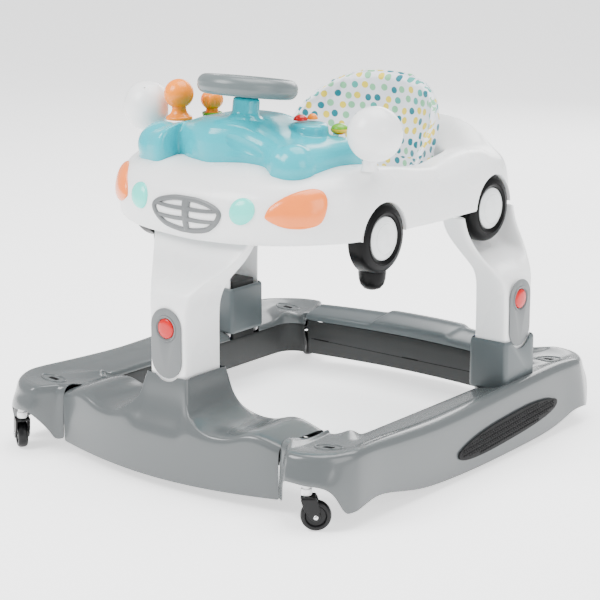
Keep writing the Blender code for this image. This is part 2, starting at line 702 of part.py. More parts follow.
def car_body():
    angles = [2 * pi * i / BODY_SEGMENTS for i in range(BODY_SEGMENTS)]
    rings = []
    levels = [(-0.012, 0.0), (-0.003, 0.15), (0.0, 0.50), (-0.006, 0.84), (-0.018, 1.0)]
    for grow, rise in levels:
        ring = []
        for angle in angles:
            x, y = body_plan(angle, grow)
            foot = 0.3665 + 0.010 * min(1.0, abs(x) / 0.2)
            ring.append((x, y, mix(foot, body_rim(y), rise)))
        rings.append(ring)
    for t, lift in ((0.12, 0.010), (0.45, 0.010), (1.0, 0.004)):
        ring = []
        for angle in angles:
            x, y = body_plan(angle, -0.018)
            hx, hy = seat_hole_plan(angle, 0.006)
            px, py = mix(x, hx, t), mix(y, hy, t)
            hump = 0.040 * bump(py, 0.262, 0.060) * table([(0.10, 1.0), (0.15, 0.70), (0.20, 0.0)], abs(px))
            hood = 0.020 * bump(py, -0.20, 0.12) * bump(px, 0.0, 0.22)
            ring.append((px, py, body_rim(y) + lift + hump + hood))
        rings.append(ring)
    rings.append([(*seat_hole_plan(angle), 0.425) for angle in angles])
    obj = shell(sheet([ring[::-1] for ring in rings[::-1]], close_rings=True), SKIN)
    for side in (-1, 1):
        for y in (AXLE_FRONT_Y, AXLE_REAR_Y):
            reach = TYRE_FACE_X - TYRE_WIDTH - 0.004 + 0.045
            arch = cylinder(TYRE_RADIUS + 0.003, 0.09, (side * reach, y, AXLE_Z), "X", 24)
            boolean(obj, cutter(arch, "wheel_arch"))
    return collect(obj, "car_body", "white")


def tyre(name, side, y, lump):
    w = TYRE_WIDTH / 2
    hub = HUB_RADIUS + GAP
    profile = [(0.0, w - 0.010), (hub, w - 0.010), (hub, w), (TYRE_RADIUS - 0.006, w), (TYRE_RADIUS, w - 0.007),
               (TYRE_RADIUS, -w), (0.0, -w)]
    obj = turned(profile, 28)
    turn = Matrix.Rotation(side * pi / 2, 4, "Y")
    obj.matrix_world = Matrix.Translation((side * (TYRE_FACE_X - w), y, AXLE_Z)) @ turn
    if lump:
        bpy.ops.mesh.primitive_uv_sphere_add(segments=12, ring_count=6, radius=1.0,
                                             location=(side * (TYRE_FACE_X - 0.026), y + 0.004, AXLE_Z - 0.062))
        foot = bpy.context.object
        foot.data.transform(Matrix.Diagonal((0.019, 0.023, 0.026, 1.0)))
        boolean(obj, cutter(foot, name + "_foot"), "UNION")
    return collect(obj, name, "black")


def hub_cap(name, side, y):
    obj = turned([(0.0, 0.0030), (0.020, 0.0024), (HUB_RADIUS - 0.0004, -0.001), (HUB_RADIUS - 0.0004, -0.0095),
                  (0.0, -0.0095)], 24)
    turn = Matrix.Rotation(side * pi / 2, 4, "Y")
    obj.matrix_world = Matrix.Translation((side * (TYRE_FACE_X - 0.0002), y, AXLE_Z)) @ turn
    return collect(obj, name, "white")


def body_normal(angle):
    x0, y0 = body_plan(angle - 0.01)
    x1, y1 = body_plan(angle + 0.01)
    tangent = Vector((x1 - x0, y1 - y0, 0)).normalized()
    return Vector((tangent.y, -tangent.x, 0))


def lamp(name, x, z, width, height, colour, lean=0.0, sharp=0.0):
    """Domed lens that stands on the nose of the body, a drop outline."""
    angle = min((pi + pi * i / 900 for i in range(900)), key=lambda trial: abs(body_plan(trial)[0] - x))
    px, py = body_plan(angle)
    normal = body_normal(angle)
    rows = []
    side = 1 if x >= 0 else -1
    for grow, lift in ((0.60, 0.0080), (0.92, 0.0045), (1.0, 0.0004)):
        row = []
        for i in range(LAMP_SEGMENTS):
            t = 2 * pi * i / LAMP_SEGMENTS
            u = cos(t) * width / 2 * grow
            v = sin(t) * height / 2 * grow * (1 + sharp * side * cos(t))
            v += lean * u * side
            row.append((u, v, lift))
        rows.append(row)
    obj = solid_loft(rows)
    right = Vector((-normal.y, normal.x, 0))
    matrix = Matrix((right, (0, 0, 1), normal)).transposed().to_4x4()
    matrix.translation = Vector((px, py, z)) + normal * 0.0012
    obj.data.transform(matrix)
    return collect(obj, name, colour)


def grille():
    """Grille frame bent to the nose: an outline ring, a middle bar and two bars each side."""
    half, height = 0.067, 0.057
    outline = []
    for i in range(24):
        t = 2 * pi * i / 24
        c, s = cos(t), sin(t)
        top = 1.0 if s > 0 else 0.96
        outline.append((half * abs(c) ** 0.75 * (1 if c >= 0 else -1) * (1 - 0.10 * (s < 0) * s * s),
                        top * height / 2 * abs(s) ** 0.8 * (1 if s >= 0 else -1)))
    obj = flat_outline(outline, 0.004)
    for side in (-1, 1):
        for low, high in ((-0.0215, -0.0105), (-0.0055, 0.0065), (0.0115, 0.0215)):
            inner, outer = 0.0065, 0.0575 - 0.012 * (abs(low + high) > 0.02)
            slot = rounded(box((inner, low, -0.01), (outer, high, 0.01)), 0.003, 2)
            if side < 0:
                slot.data.transform(Matrix.Diagonal((-1, 1, 1, 1)))
                slot.data.flip_normals()
                slot.location.x = -slot.location.x
            boolean(obj, cutter(slot, "grille_slot"))
    bpy.context.view_layer.update()
    evaluated = obj.evaluated_get(bpy.context.evaluated_depsgraph_get())
    mesh = bpy.data.meshes.new_from_object(evaluated)
    bm = bmesh.new()
    bm.from_mesh(mesh)
    for x in (-0.035, 0.0, 0.035):
        geometry = bm.verts[:] + bm.edges[:] + bm.faces[:]
        bmesh.ops.bisect_plane(bm, geom=geometry, plane_co=(x, 0, 0), plane_no=(1, 0, 0))
    bmesh.ops.triangulate(bm, faces=bm.faces)
    bm.to_mesh(mesh)
    bm.free()
    bent = bpy.data.objects.new("grille", mesh)
    bpy.context.scene.collection.objects.link(bent)
    bpy.data.objects.remove(obj)
    for vertex in mesh.vertices:
        x, up, out = vertex.co
        y = -BODY_FRONT * (1 - (abs(x) / BODY_WIDTH) ** 2.7) ** (1 / 2.7)
        vertex.co = (x, y - 0.0032 - GAP - out, 0.4155 + up)
    return collect(bent, "grille", "grille_grey")


# ---------------------------------------------------------------- toy tray, wheel and toys
def tray_ring(inset):
    """The tray's outline, shrunk towards its spine."""
    low, high, depth = TRAY_SPINE
    ring = []
    for x, y in TRAY_OUTLINE:
        inward = Vector((min(max(x, low), high) - x, depth - y)).normalized() * inset
        ring.append((x + inward.x, y + inward.y))
    return ring


def tray_top(x):
    """Height of the tray's top across its width, highest at the steering post."""
    return table([(-0.20, 0.508), (-0.150, 0.516), (-0.115, 0.521), (-0.085, 0.533), (-0.05, 0.540), (0.01, 0.541),
                  (0.04, 0.535), (0.08, 0.522), (0.12, 0.515), (0.20, 0.511)], x)


def toy_tray(deck):
    """Tray cover that stands on the body's deck, its steering post and button pod moulded on."""
    feet = [perch(deck, x, y, 0.014) + TRAY_CLEARANCE for x, y in TRAY_OUTLINE]
    rings = [[(x, y, foot) for (x, y), foot in zip(TRAY_OUTLINE, feet)]]
    for inset, rise in ((0.002, 0.45), (0.009, 0.80), (0.022, 0.97), (0.040, 1.0), (0.065, 1.0)):
        rings.append([(x, y, mix(foot, tray_top(x), rise)) for (x, y), foot in zip(tray_ring(inset), feet)])
    obj = sheet(rings, close_rings=True)
    bm = bmesh.new()
    bm.from_mesh(obj.data)
    bmesh.ops.holes_fill(bm, edges=[e for e in bm.edges if e.is_boundary and e.verts[0].co.z > 0.505])
    bmesh.ops.triangulate(bm, faces=[face for face in bm.faces if len(face.verts) > 4])
    bmesh.ops.recalc_face_normals(bm, faces=bm.faces)
    if sum(face.normal.z * face.calc_area() for face in bm.faces) < 0:
        bmesh.ops.reverse_faces(bm, faces=bm.faces)
    bm.to_mesh(obj.data)
    bm.free()
    shell(obj, SKIN, even=False)
    boolean(obj, cutter(steering_post(), "steering_post"), "UNION")
    x, y, radius, top = POD
    pod = cylinder(radius, 0.024, (x, y, top - 0.012), vertices=24, far_radius=radius - 0.003)
    boolean(obj, cutter(pod, "dash_pod"), "UNION")
    return collect(obj, "toy_tray", "turquoise")


def steering_matrix():
    return Matrix.Translation(STEERING_CENTRE) @ Matrix.Rotation(radians(-STEERING_TILT), 4, "X")


def steering_post():
    obj = turned([(0.0, -0.0180), (0.0140, -0.0180), (0.0205, -0.0200), (0.0205, -0.0420), (0.0240, -0.0560),
                  (0.0, -0.0560)], 20)
    obj.matrix_world = steering_matrix()
    return obj


def steering_wheel():
    half_width, half_height = STEERING_RIM
    middle = STEERING_RADIUS - half_width
    turn = [2 * pi * i / 8 for i in range(8)]
    obj = turned([(middle - half_width * cos(a), half_height * sin(a)) for a in turn], 28, ring=True)
    obj.matrix_world = steering_matrix()
    disc = cylinder(0.030, 0.014, (0, 0, 0), vertices=24)
    disc.matrix_world = steering_matrix() @ Matrix.Translation((0, 0, -0.009))
    boolean(obj, cutter(disc, "steering_hub"), "UNION")
    for i in range(3):
        spoke = box((0.0, -0.012, -0.0048), (middle, 0.012, 0.0048))
        spoke.data.transform(Matrix.Translation((middle / 2, 0, -0.0072)))
        spoke.matrix_world = steering_matrix() @ Matrix.Rotation(radians(90 + 120 * i), 4, "Z")
        boolean(obj, cutter(spoke, "steering_spoke"), "UNION")
    return collect(obj, "steering_wheel", "grille_grey")


def steering_cap():
    obj = turned([(0.0, 0.0100), (0.014, 0.0092), (0.023, 0.0060), (0.026, 0.0020), (0.026, -0.0016),
                  (0.0, -0.0016)], 20)
    obj.matrix_world = steering_matrix()
    return collect(obj, "steering_cap", "turquoise")


def knob_figure(tray):
    """Round-headed lever on the left of the tray."""
    head, height = 0.0230, 0.0640
    profile = [(0.0, height)]
    profile += [(head * sin(a), height - head + head * cos(a)) for a in [pi * i / 9 for i in range(1, 7)]]
    profile += [(0.0105, 0.0185), (0.0105, 0.0120), (0.0140, 0.0075), (0.0205, 0.0030), (0.0205, 0.0), (0.0, 0.0)]
    obj = turned(profile, 16)
    obj.location = (*KNOB, perch(tray, *KNOB, 0.0205))
    return collect(obj, "knob_figure", "orange")


def roller_toy(tray):
    """Ridged roller on a short stand behind the knob."""
    obj = turned([(0.0, 0.040), (0.012, 0.040), (0.0155, 0.036), (0.0155, 0.022), (0.011, 0.015), (0.0125, 0.008),
                  (0.0125, 0.0), (0.0, 0.0)], 16)
    obj.location = (*ROLLER, perch(tray, *ROLLER, 0.0125))
    return collect(obj, "roller_toy", "orange")


def dash_button(tray, name, x, y, colour, radius=0.0105):
    obj = turned([(0.0, 0.0085), (radius * 0.6, 0.0075), (radius, 0.0030), (radius, 0.0), (0.0, 0.0)], 16)
    obj.location = (x, y, perch(tray, x, y, radius) + DASH_TRAVEL)
    return collect(obj, name, colour)


def bead_toy(tray):
    """Flattened bead with a flat foot."""
    radius, half = 0.0135, 0.0088
    profile = [(0.0, 2 * half)]
    profile += [(radius * sin(a), half + half * cos(a)) for a in [pi * i / 8 for i in range(1, 7)]]
    profile += [(0.009, 0.0), (0.0, 0.0)]
    obj = turned(profile, 14)
    obj.location = (*BEAD, perch(tray, *BEAD, 0.009))
    return collect(obj, "bead_toy", "green")


def mirror(side, deck):
    """Mirror housing, a thick dome that looks forward and out, on a stalk that stands on the deck."""
    x, y, z = side * MIRROR[0], MIRROR[1], MIRROR[2]
    stalk_x = side * MIRROR_STALK_X
    foot = perch(deck, stalk_x, y, 0.0155) + GAP
    obj = cylinder(0.013, z - foot, (0, 0, (foot - z) / 2), vertices=16)
    obj.location = (stalk_x, y, 0)
    obj.data.transform(Matrix.Translation((0, 0, (z + foot) / 2)))
    bpy.ops.mesh.primitive_uv_sphere_add(segments=18, ring_count=10, radius=1.0, location=(x, y, z))
    head = bpy.context.object
    away = Matrix.Rotation(side * radians(40.0), 4, "Z") @ Matrix.Rotation(pi / 2, 4, "X")
    head.data.transform(away @ Matrix.Diagonal((0.0415, 0.0415, 0.0380, 1.0)))
    boolean(obj, cutter(head, "mirror_head"), "UNION")
    return collect(obj, ("right" if side > 0 else "left") + "_mirror", "white")


# ---------------------------------------------------------------- seat
def seat():
    """Padded sling: a bowl below the opening with two leg holes and a tall back."""
    angles = [2 * pi * i / 24 for i in range(24)]
    rows = []
    levels = [(0.0, 1.0), (0.055, 0.97), (0.100, 0.84), (0.135, 0.60), (0.150, 0.34)]
    half_x, half_y, middle = SEAT_HOLE
    top = []
    for angle in angles:
        c, s = cos(angle), sin(angle)
        rise = 0.130 * max(0.0, s) ** 0.7
        x = (half_x - 0.012 - 0.012 * max(0.0, s)) * abs(c) ** 0.8 * (1 if c >= 0 else -1)
        y = middle + (half_y - 0.012) * abs(s) ** 0.8 * (1 if s >= 0 else -1)
        top.append((x, y, 0.450 + rise))
    rows.append(top)
    rows.append([(x, y - 0.004 * (z > 0.46), mix(z, 0.442, 0.5)) for x, y, z in top])
    for drop, scale in levels:
        rows.append([(x * scale, middle + (y - middle) * scale, 0.436 - drop) for x, y, _ in top])
    obj = sheet(rows[::-1], close_rings=True)
    bm = bmesh.new()
    bm.from_mesh(obj.data)
    low = [e for e in bm.edges if e.is_boundary and all(v.co.z < 0.30 for v in e.verts)]
    bmesh.ops.holes_fill(bm, edges=low)
    bmesh.ops.recalc_face_normals(bm, faces=bm.faces)
    bm.to_mesh(obj.data)
    bm.free()
    shell(obj, 0.006)
    for side in (-1, 1):
        leg = cylinder(0.046, 0.16, (side * 0.070, 0.020, 0.330), "Y", 24)
        boolean(obj, cutter(leg, "leg_hole"))
    return collect(obj, "seat_sling", "fabric")


# ---------------------------------------------------------------- assembly
def build():
    front_shell()
    rear_shell()
    front_liner()
    rear_liner()
    for side in (1, -1):
        side_shell(side)
        side_liner(side)
        grip_pad(side)
    for corner, sx, sy in (("front_right", 1, -1), ("front_left", -1, -1), ("rear_left", -1, 1), ("rear_right", 1, 1)):
        caster(corner, sx * CASTER_X, sy * CASTER_Y)
    column("front_column", True)
    column("right_column", False, 1)
    column("left_column", False, -1)
    for name, face, middle in (("front", FRONT_COLUMN, 0.0), ("right", SIDE_COLUMN, SIDE_COLUMN_Y),
                               ("left", SIDE_COLUMN, SIDE_COLUMN_Y)):
        button_plate(name + "_button_plate", face, middle, name)
        release_button(name + "_release_button", face, middle, name)
    deck = surface_of(car_body())
    mirror(1, deck)
    mirror(-1, deck)
    grille()
    for side, word in ((1, "right"), (-1, "left")):
        lamp(word + "_headlight", side * 0.173, 0.427, 0.086, 0.066, "orange_light", lean=0.22, sharp=0.25)
        lamp(word + "_fog_light", side * 0.1025, 0.422, 0.034, 0.040, "aqua")
        for end, y in (("front", AXLE_FRONT_Y), ("rear", AXLE_REAR_Y)):
            tyre(f"{end}_{word}_tyre", side, y, end == "front")
            hub_cap(f"{end}_{word}_hub_cap", side, y)
    tray = surface_of(toy_tray(deck))
    steering_wheel()
    steering_cap()
    knob_figure(tray)
    roller_toy(tray)
    dash_button(tray, "red_button", *RED_BUTTON, "red")
    dash_button(tray, "orange_button", *ORANGE_BUTTON, "orange", 0.008)
    bead_toy(tray)
    seat()


build()
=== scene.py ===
"""Baby walker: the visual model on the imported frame."""
import bpy
import bmesh
from contextlib import contextmanager
from math import sin, cos, pi, radians, hypot, atan2
from mathutils import Vector, Matrix
from mathutils.bvhtree import BVHTree


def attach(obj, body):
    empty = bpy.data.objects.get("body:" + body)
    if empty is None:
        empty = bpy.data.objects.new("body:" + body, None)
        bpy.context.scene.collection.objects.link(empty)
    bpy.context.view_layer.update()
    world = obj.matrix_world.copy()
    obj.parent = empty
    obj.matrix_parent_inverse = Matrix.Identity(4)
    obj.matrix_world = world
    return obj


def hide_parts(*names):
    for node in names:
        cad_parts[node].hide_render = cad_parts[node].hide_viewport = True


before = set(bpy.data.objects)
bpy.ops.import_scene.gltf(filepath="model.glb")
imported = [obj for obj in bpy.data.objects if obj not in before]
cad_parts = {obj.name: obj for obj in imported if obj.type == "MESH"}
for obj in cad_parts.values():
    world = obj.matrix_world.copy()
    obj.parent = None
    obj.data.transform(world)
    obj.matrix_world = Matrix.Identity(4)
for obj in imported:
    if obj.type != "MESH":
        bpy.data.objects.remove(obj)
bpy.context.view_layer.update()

# ---------------------------------------------------------------- dimensions, metres
GAP = 0.0003
SKIN = 0.003
COVER_SKIN = 0.0015
PANEL = 0.0025
HALF_LENGTH = 0.382
HALF_WIDTH = 0.345
CORNER_RADIUS = 0.080
SEAM_X = 0.2200
SEAM_Y = 0.343
INNER_X = 0.257
INNER_FRONT_Y = 0.232
INNER_REAR_Y = 0.276
RIM_Z = 0.094
FRONT_COLUMN = 0.337
SIDE_COLUMN = 0.315
SIDE_COLUMN_Y = 0.149
COLUMN_FOOT = 0.0838
SOCKET_TOP = 0.180
SOCKET_HALF = 0.0405
SOCKET_DEPTH = 0.063
SOCKET_GAP = 0.0025
BUTTON_Z = 0.243
BUTTON_RADIUS = 0.0155
CASTER = (0.290, 0.366)
CASTER_TRAIL = 0.0135
WHEEL_RADIUS = 0.0225
WHEEL_WIDTH = 0.016
HEADINGS = {"front_right": 38.5, "front_left": 145.0, "rear_left": -35.0, "rear_right": 215.0}
SIDES = ((1, "right"), (-1, "left"))
CORNERS = {"front_right": (1, -1), "front_left": (-1, -1), "rear_left": (-1, 1), "rear_right": (1, 1)}
BODY_WIDTH = 0.241
BODY_FRONT = 0.292
BODY_REAR = 0.288
SEAT_HOLE = (0.158, 0.122, 0.105)
TYRE_RADIUS = 0.055
AXLE_Z = 0.3735
AXLES = {"front": -0.108, "rear": 0.184}
TYRE_FACE_X = 0.236
TYRE_WIDTH = 0.030
TRAY_SPINE = (-0.120, 0.100, -0.130)
TRAY_OUTLINE = [
    (0.163, -0.130), (0.162, -0.085), (0.152, -0.056), (0.100, -0.052), (0.050, -0.051), (0.0, -0.050),
    (-0.050, -0.051), (-0.100, -0.052), (-0.150, -0.054), (-0.176, -0.066), (-0.185, -0.105),
    (-0.186, -0.150), (-0.182, -0.190), (-0.165, -0.213), (-0.135, -0.2265), (-0.107, -0.234),
    (-0.098, -0.218), (-0.096, -0.198), (-0.075, -0.203), (-0.046, -0.2166), (-0.014, -0.2245),
    (0.015, -0.2166), (0.044, -0.2050), (0.0765, -0.2035), (0.098, -0.216), (0.114, -0.227),
    (0.134, -0.2265), (0.150, -0.218), (0.161, -0.203), (0.164, -0.173)]
STEERING_CENTRE = (0.002, -0.147, 0.5865)
STEERING_TILT = -8.0
STEERING_RADIUS = 0.080
POD = (0.088, -0.103, 0.031, 0.5340)
KNOB = (-0.162, -0.122)
ROLLER = (-0.136, -0.072)
BEAD = (0.120, -0.069)
RED_BUTTON = (0.075, -0.109)
ORANGE_BUTTON = (0.083, -0.0895)
MIRROR_AT = (0.228, -0.125, 0.533)
MIRROR_STALK_X = 0.219
SEAT_MIDDLE_Y = 0.105
SEAT_WALL_FOOT = 0.436
DOT_SPACING = 0.0195
DOT_ROW = 0.86            # distance between rows of dots, of their spacing
DOT_RADIUS = 0.30         # of their spacing
DOT_SCATTER = 0.38
THREAD = 0.0009


# ---------------------------------------------------------------- materials
def srgb(r, g, b):
    def one(c):
        c /= 255
        return c / 12.92 if c <= 0.04045 else ((c + 0.055) / 1.055) ** 2.4
    return (one(r), one(g), one(b), 1.0)


def scaled(colour, factor):
    return tuple(min(1.0, c * factor) for c in colour[:3]) + (1.0,)


class Graph:
    """A new material and its shader nodes."""

    def __init__(self, name):
        self.material = bpy.data.materials.new(name)
        self.material.use_nodes = True
        self.tree = self.material.node_tree
        self.shader = self.tree.nodes["Principled BSDF"]

    def feed(self, node, inputs):
        """Give a node's inputs their values, or link them to other nodes' outputs."""
        for name, value in inputs.items():
            if isinstance(value, bpy.types.NodeSocket):
                self.tree.links.new(value, node.inputs[name])
            else:
                node.inputs[name].default_value = value

    def add(self, kind, inputs=None, **settings):
        node = self.tree.nodes.new("ShaderNode" + kind)
        for name, value in settings.items():
            setattr(node, name, value)
        self.feed(node, inputs or {})
        return node.outputs

    def maths(self, operation, *values):
        return self.add("Math", dict(enumerate(values)), operation=operation)[0]

    def noise(self, scale, detail=2, **place):
        return self.add("TexNoise", {"Scale": scale, "Detail": detail, **place})["Fac"]

    def remap(self, value, source, target):
        return self.add("MapRange", {"Value": value, "From Min": source[0], "From Max": source[1],
                                     "To Min": target[0], "To Max": target[1]})["Result"]

    def ramp(self, value, stops, interpolation="LINEAR"):
        node = self.tree.nodes.new("ShaderNodeValToRGB")
        node.color_ramp.interpolation = interpolation
        elements = node.color_ramp.elements
        while len(elements) < len(stops):
            elements.new(0.5)
        for element, (position, colour) in zip(elements, stops):
            element.position = position
            element.color = colour
        self.feed(node, {"Fac": value})
        return node.outputs["Color"]

    def blend(self, factor, a, b):
        return self.add("Mix", {"Factor": factor, "A": a, "B": b}, data_type="RGBA")["Result"]

    def relief(self, height, distance):
        return self.add("Bump", {"Height": height, "Distance": distance})["Normal"]


MIDDLE = (0.3, 0.7)   # the range that most of a noise falls in


def plastic(name, colour, rough=0.3, coat=0.0, grain=0.00005, grain_scale=900, mottle=0.02, mottle_scale=6,
            edge_highlight=0.0, subsurface=0.0, specular=0.4):
    """Moulded plastic: slow colour drift, uneven gloss, a fine skin and a little painted highlight on its
    convex edges.
    """
    graph = Graph(name)
    where = graph.add("TexCoord")["Object"]
    drift = [(position, scaled(colour, 1 + sign * mottle)) for position, sign in zip(MIDDLE, (-1, 1))]
    base = graph.ramp(graph.noise(mottle_scale, 3, Vector=where), drift)
    # painted highlight: convex edges, found by pointiness, are lightened towards 1.5 times the colour
    if edge_highlight:
        edge = graph.add("NewGeometry")["Pointiness"]
        base = graph.blend(graph.remap(edge, (0.52, 0.60), (0.0, edge_highlight)), base, scaled(colour, 1.5))
    gloss = (max(0.02, rough - 0.02), rough + 0.02)
    graph.feed(graph.shader, {
        "IOR": 1.49, "Specular IOR Level": specular, "Coat Weight": coat, "Coat Roughness": 0.08,
        "Subsurface Weight": subsurface, "Subsurface Radius": (0.006, 0.004, 0.003), "Base Color": base,
        "Roughness": graph.remap(graph.noise(14, Vector=where), MIDDLE, gloss),
        "Normal": graph.relief(graph.noise(grain_scale, Vector=where), grain)})
    return graph.material


# the edge amounts below set how much painted highlight lightens each plastic's convex edges
GREY = plastic("base_plastic", srgb(83, 87, 88), 0.24, coat=0.25, grain=0.000008, mottle=0.01, edge_highlight=0.15)
DARK = plastic("liner_plastic", srgb(46, 47, 47), 0.42, grain=0.0001, grain_scale=600, edge_highlight=0.2, specular=0.2)
SLEEVE = plastic("sleeve_plastic", srgb(80, 87, 89), 0.32, edge_highlight=0.15)
WHITE = plastic("white_plastic", srgb(240, 241, 241), 0.28, coat=0.2, mottle=0.008, subsurface=0.05)
TURQUOISE = plastic("turquoise_plastic", srgb(0, 172, 186), 0.20, coat=0.1, mottle=0.02)
PLATE = plastic("plate_plastic", srgb(104, 107, 108), 0.36, grain=0.00008)
RIM = plastic("steering_plastic", srgb(92, 101, 102), 0.30, grain=0.00008, specular=0.5)
RED = plastic("red_plastic", srgb(190, 0, 4), 0.24, coat=0.1)
ORANGE = plastic("orange_plastic", srgb(255, 136, 0), 0.26)
GREEN = plastic("green_plastic", srgb(98, 168, 10), 0.26, coat=0.2)
YELLOW = plastic("yellow_plastic", srgb(240, 180, 5), 0.26, coat=0.2)
BLACK = plastic("black_plastic", srgb(16, 16, 17), 0.35, mottle=0.1, edge_highlight=0.15, specular=0.25)
TYRE = plastic("tyre_plastic", srgb(8, 8, 9), 0.30, mottle=0.1, specular=0.12)
RUBBER = plastic("pad_rubber", srgb(14, 14, 15), 0.60, grain=0.0002, grain_scale=1200, mottle=0.12,
                 specular=0.2)
LAMP = plastic("lamp_lens", srgb(255, 128, 46), 0.20, coat=0.15, mottle=0.05, mottle_scale=30)
AQUA = plastic("fog_lens", srgb(84, 232, 214), 0.18, coat=0.2, mottle=0.05, mottle_scale=30)
HUB = plastic("hub_plastic", srgb(226, 229, 229), 0.30, coat=0.3, mottle=0.05, mottle_scale=60)
SLOT = plastic("slot_shadow", srgb(10, 10, 11), 0.7, specular=0.1)


def steel(name, rough=0.22):
    graph = Graph(name)
    cloud = graph.noise(300)
    graph.feed(graph.shader, {
        "Metallic": 1.0,
        "Base Color": graph.ramp(cloud, [(0.0, (0.55, 0.55, 0.56, 1)), (1.0, (0.78, 0.78, 0.79, 1))]),
        "Roughness": graph.remap(cloud, (0.0, 1.0), (rough - 0.06, rough + 0.10))})
    return graph.material


STEEL = steel("pin_steel")
MIRROR = steel("mirror_film", 0.10)


def dotted_fabric(name):
    """Padded woven fabric, off-white, printed with staggered dots in four colours."""
    graph = Graph(name)
    maths = graph.maths
    coords = graph.add("TexCoord")
    cloth = graph.add("SeparateXYZ", {0: coords["UV"]})
    v = maths("DIVIDE", cloth["Y"], DOT_SPACING * DOT_ROW)
    row = maths("FLOOR", v)
    stagger = maths("MULTIPLY", maths("MODULO", row, 2.0), 0.5)
    u = maths("ADD", maths("DIVIDE", cloth["X"], DOT_SPACING), stagger)
    cell = graph.add("CombineXYZ", {"X": maths("FLOOR", u), "Y": row})[0]
    chance = graph.add("TexWhiteNoise", {"Vector": cell}, noise_dimensions="2D")["Color"]
    draws = graph.add("SeparateColor", {0: chance})

    def from_dot(place, draw):
        centred = maths("SUBTRACT", maths("FRACT", place), 0.5)
        return maths("ADD", centred, maths("MULTIPLY", maths("SUBTRACT", draw, 0.5), DOT_SCATTER))

    across = from_dot(u, draws[0])
    along = maths("MULTIPLY", from_dot(v, draws[1]), DOT_ROW)
    distance = maths("SQRT", maths("ADD", maths("MULTIPLY", across, across), maths("MULTIPLY", along, along)))
    dot = graph.remap(distance, (DOT_RADIUS + 0.012, DOT_RADIUS - 0.012), (0.0, 1.0))
    inks = graph.ramp(draws[2], [(0.0, srgb(4, 116, 130)), (0.36, srgb(128, 196, 150)),
                                 (0.62, srgb(232, 208, 62)), (0.86, srgb(70, 168, 158))], "CONSTANT")
    shades = zip(MIDDLE, (srgb(226, 227, 236), srgb(240, 241, 246)))
    ground = graph.ramp(graph.noise(14, Vector=coords["Object"]), list(shades))
    threads = [maths("SINE", maths("MULTIPLY", cloth[axis], 2 * pi / THREAD)) for axis in "XY"]
    weave = maths("MULTIPLY", *threads)
    graph.feed(graph.shader, {
        "Sheen Weight": 0.25, "Sheen Roughness": 0.5, "Specular IOR Level": 0.25,
        "Base Color": graph.blend(dot, ground, inks),
        "Roughness": graph.remap(weave, (-1.0, 1.0), (0.80, 0.95)),
        "Normal": graph.relief(weave, 0.00012)})
    return graph.material


FABRIC = dotted_fabric("dotted_fabric")


# ---------------------------------------------------------------- mesh helpers
def mix(a, b, t):
    return a + (b - a) * t


def table(stops, x):
    """Smooth value of x through (x, value) stops."""
    if x <= stops[0][0]:
        return stops[0][1]
    if x >= stops[-1][0]:
        return stops[-1][1]
    slopes = []
    for i in range(len(stops)):
        a, b = stops[max(0, i - 1)], stops[min(len(stops) - 1, i + 1)]
        slopes.append((b[1] - a[1]) / (b[0] - a[0]))
    for i in range(len(stops) - 1):
        (x0, v0), (x1, v1) = stops[i], stops[i + 1]
        if x <= x1:
            h = x1 - x0
            t = (x - x0) / h
            return ((2 * t ** 3 - 3 * t ** 2 + 1) * v0 + (t ** 3 - 2 * t ** 2 + t) * h * slopes[i]
                    + (-2 * t ** 3 + 3 * t ** 2) * v1 + (t ** 3 - t ** 2) * h * slopes[i + 1])


def bump(x, middle, half):
    t = abs(x - middle) / half
    return 0.0 if t >= 1 else 0.5 + 0.5 * cos(pi * t)


def arc(centre, radius, start, end, steps):
    turn = [radians(start + (end - start) * i / steps) for i in range(steps + 1)]
    return [(centre[0] + radius * cos(a), centre[1] + radius * sin(a)) for a in turn]


def put(mesh, name, material, smooth=True):
    obj = bpy.data.objects.new(name, mesh)
    bpy.context.scene.collection.objects.link(obj)
    obj.data.materials.append(material)
    if smooth:
        obj.data.shade_smooth()
    return obj


@contextmanager
def editing(mesh):
    """Change a mesh with bmesh and put the result back."""
    bm = bmesh.new()
    bm.from_mesh(mesh)
    yield bm
    bm.to_mesh(mesh)
    bm.free()


def loft(name, rings, material, close_rings=False, caps=False):
    mesh = bpy.data.meshes.new(name)
    with editing(mesh) as bm:
        rows = [[bm.verts.new(point) for point in ring] for ring in rings]
        count = len(rows[0])
        for near, far in zip(rows, rows[1:]):
            for i in range(count if close_rings else count - 1):
                j = (i + 1) % count
                bm.faces.new((near[i], near[j], far[j], far[i]))
        if caps:
            bmesh.ops.holes_fill(bm, edges=[e for e in bm.edges if e.is_boundary])
            bmesh.ops.recalc_face_normals(bm, faces=bm.faces)
    return put(mesh, name, material)


def turned(name, profile, material, steps=64, ring=False):
    """Solid of revolution about Z from a profile listed from the top down its outer side."""
    mesh = bpy.data.meshes.new(name)
    edges = [(i, i + 1) for i in range(len(profile) - 1)]
    if ring:
        edges.append((len(profile) - 1, 0))
    mesh.from_pydata([(r, 0.0, z) for r, z in profile], edges, [])
    obj = put(mesh, name, material)
    screw = obj.modifiers.new("turn", "SCREW")
    screw.steps = steps
    screw.render_steps = steps
    screw.use_merge_vertices = True
    screw.merge_threshold = 0.00002
    return outward(bake(obj))


def block(name, low, high, material, width=0.002, segments=3):
    """Box with rounded edges, in place."""
    mesh = bpy.data.meshes.new(name)
    size = [b - a for a, b in zip(low, high)]
    middle = [(a + b) / 2 for a, b in zip(low, high)]
    with editing(mesh) as bm:
        bmesh.ops.create_cube(bm, size=1.0)
        place = Matrix.Translation(middle) @ Matrix.Diagonal((*size, 1))
        bmesh.ops.transform(bm, matrix=place, verts=bm.verts)
    return bevel(put(mesh, name, material), width, segments)


def bevel(obj, width, segments=3, angle=30):
    modifier = obj.modifiers.new("edges", "BEVEL")
    modifier.width = width
    modifier.segments = segments
    modifier.limit_method = "ANGLE"
    modifier.angle_limit = radians(angle)
    return obj


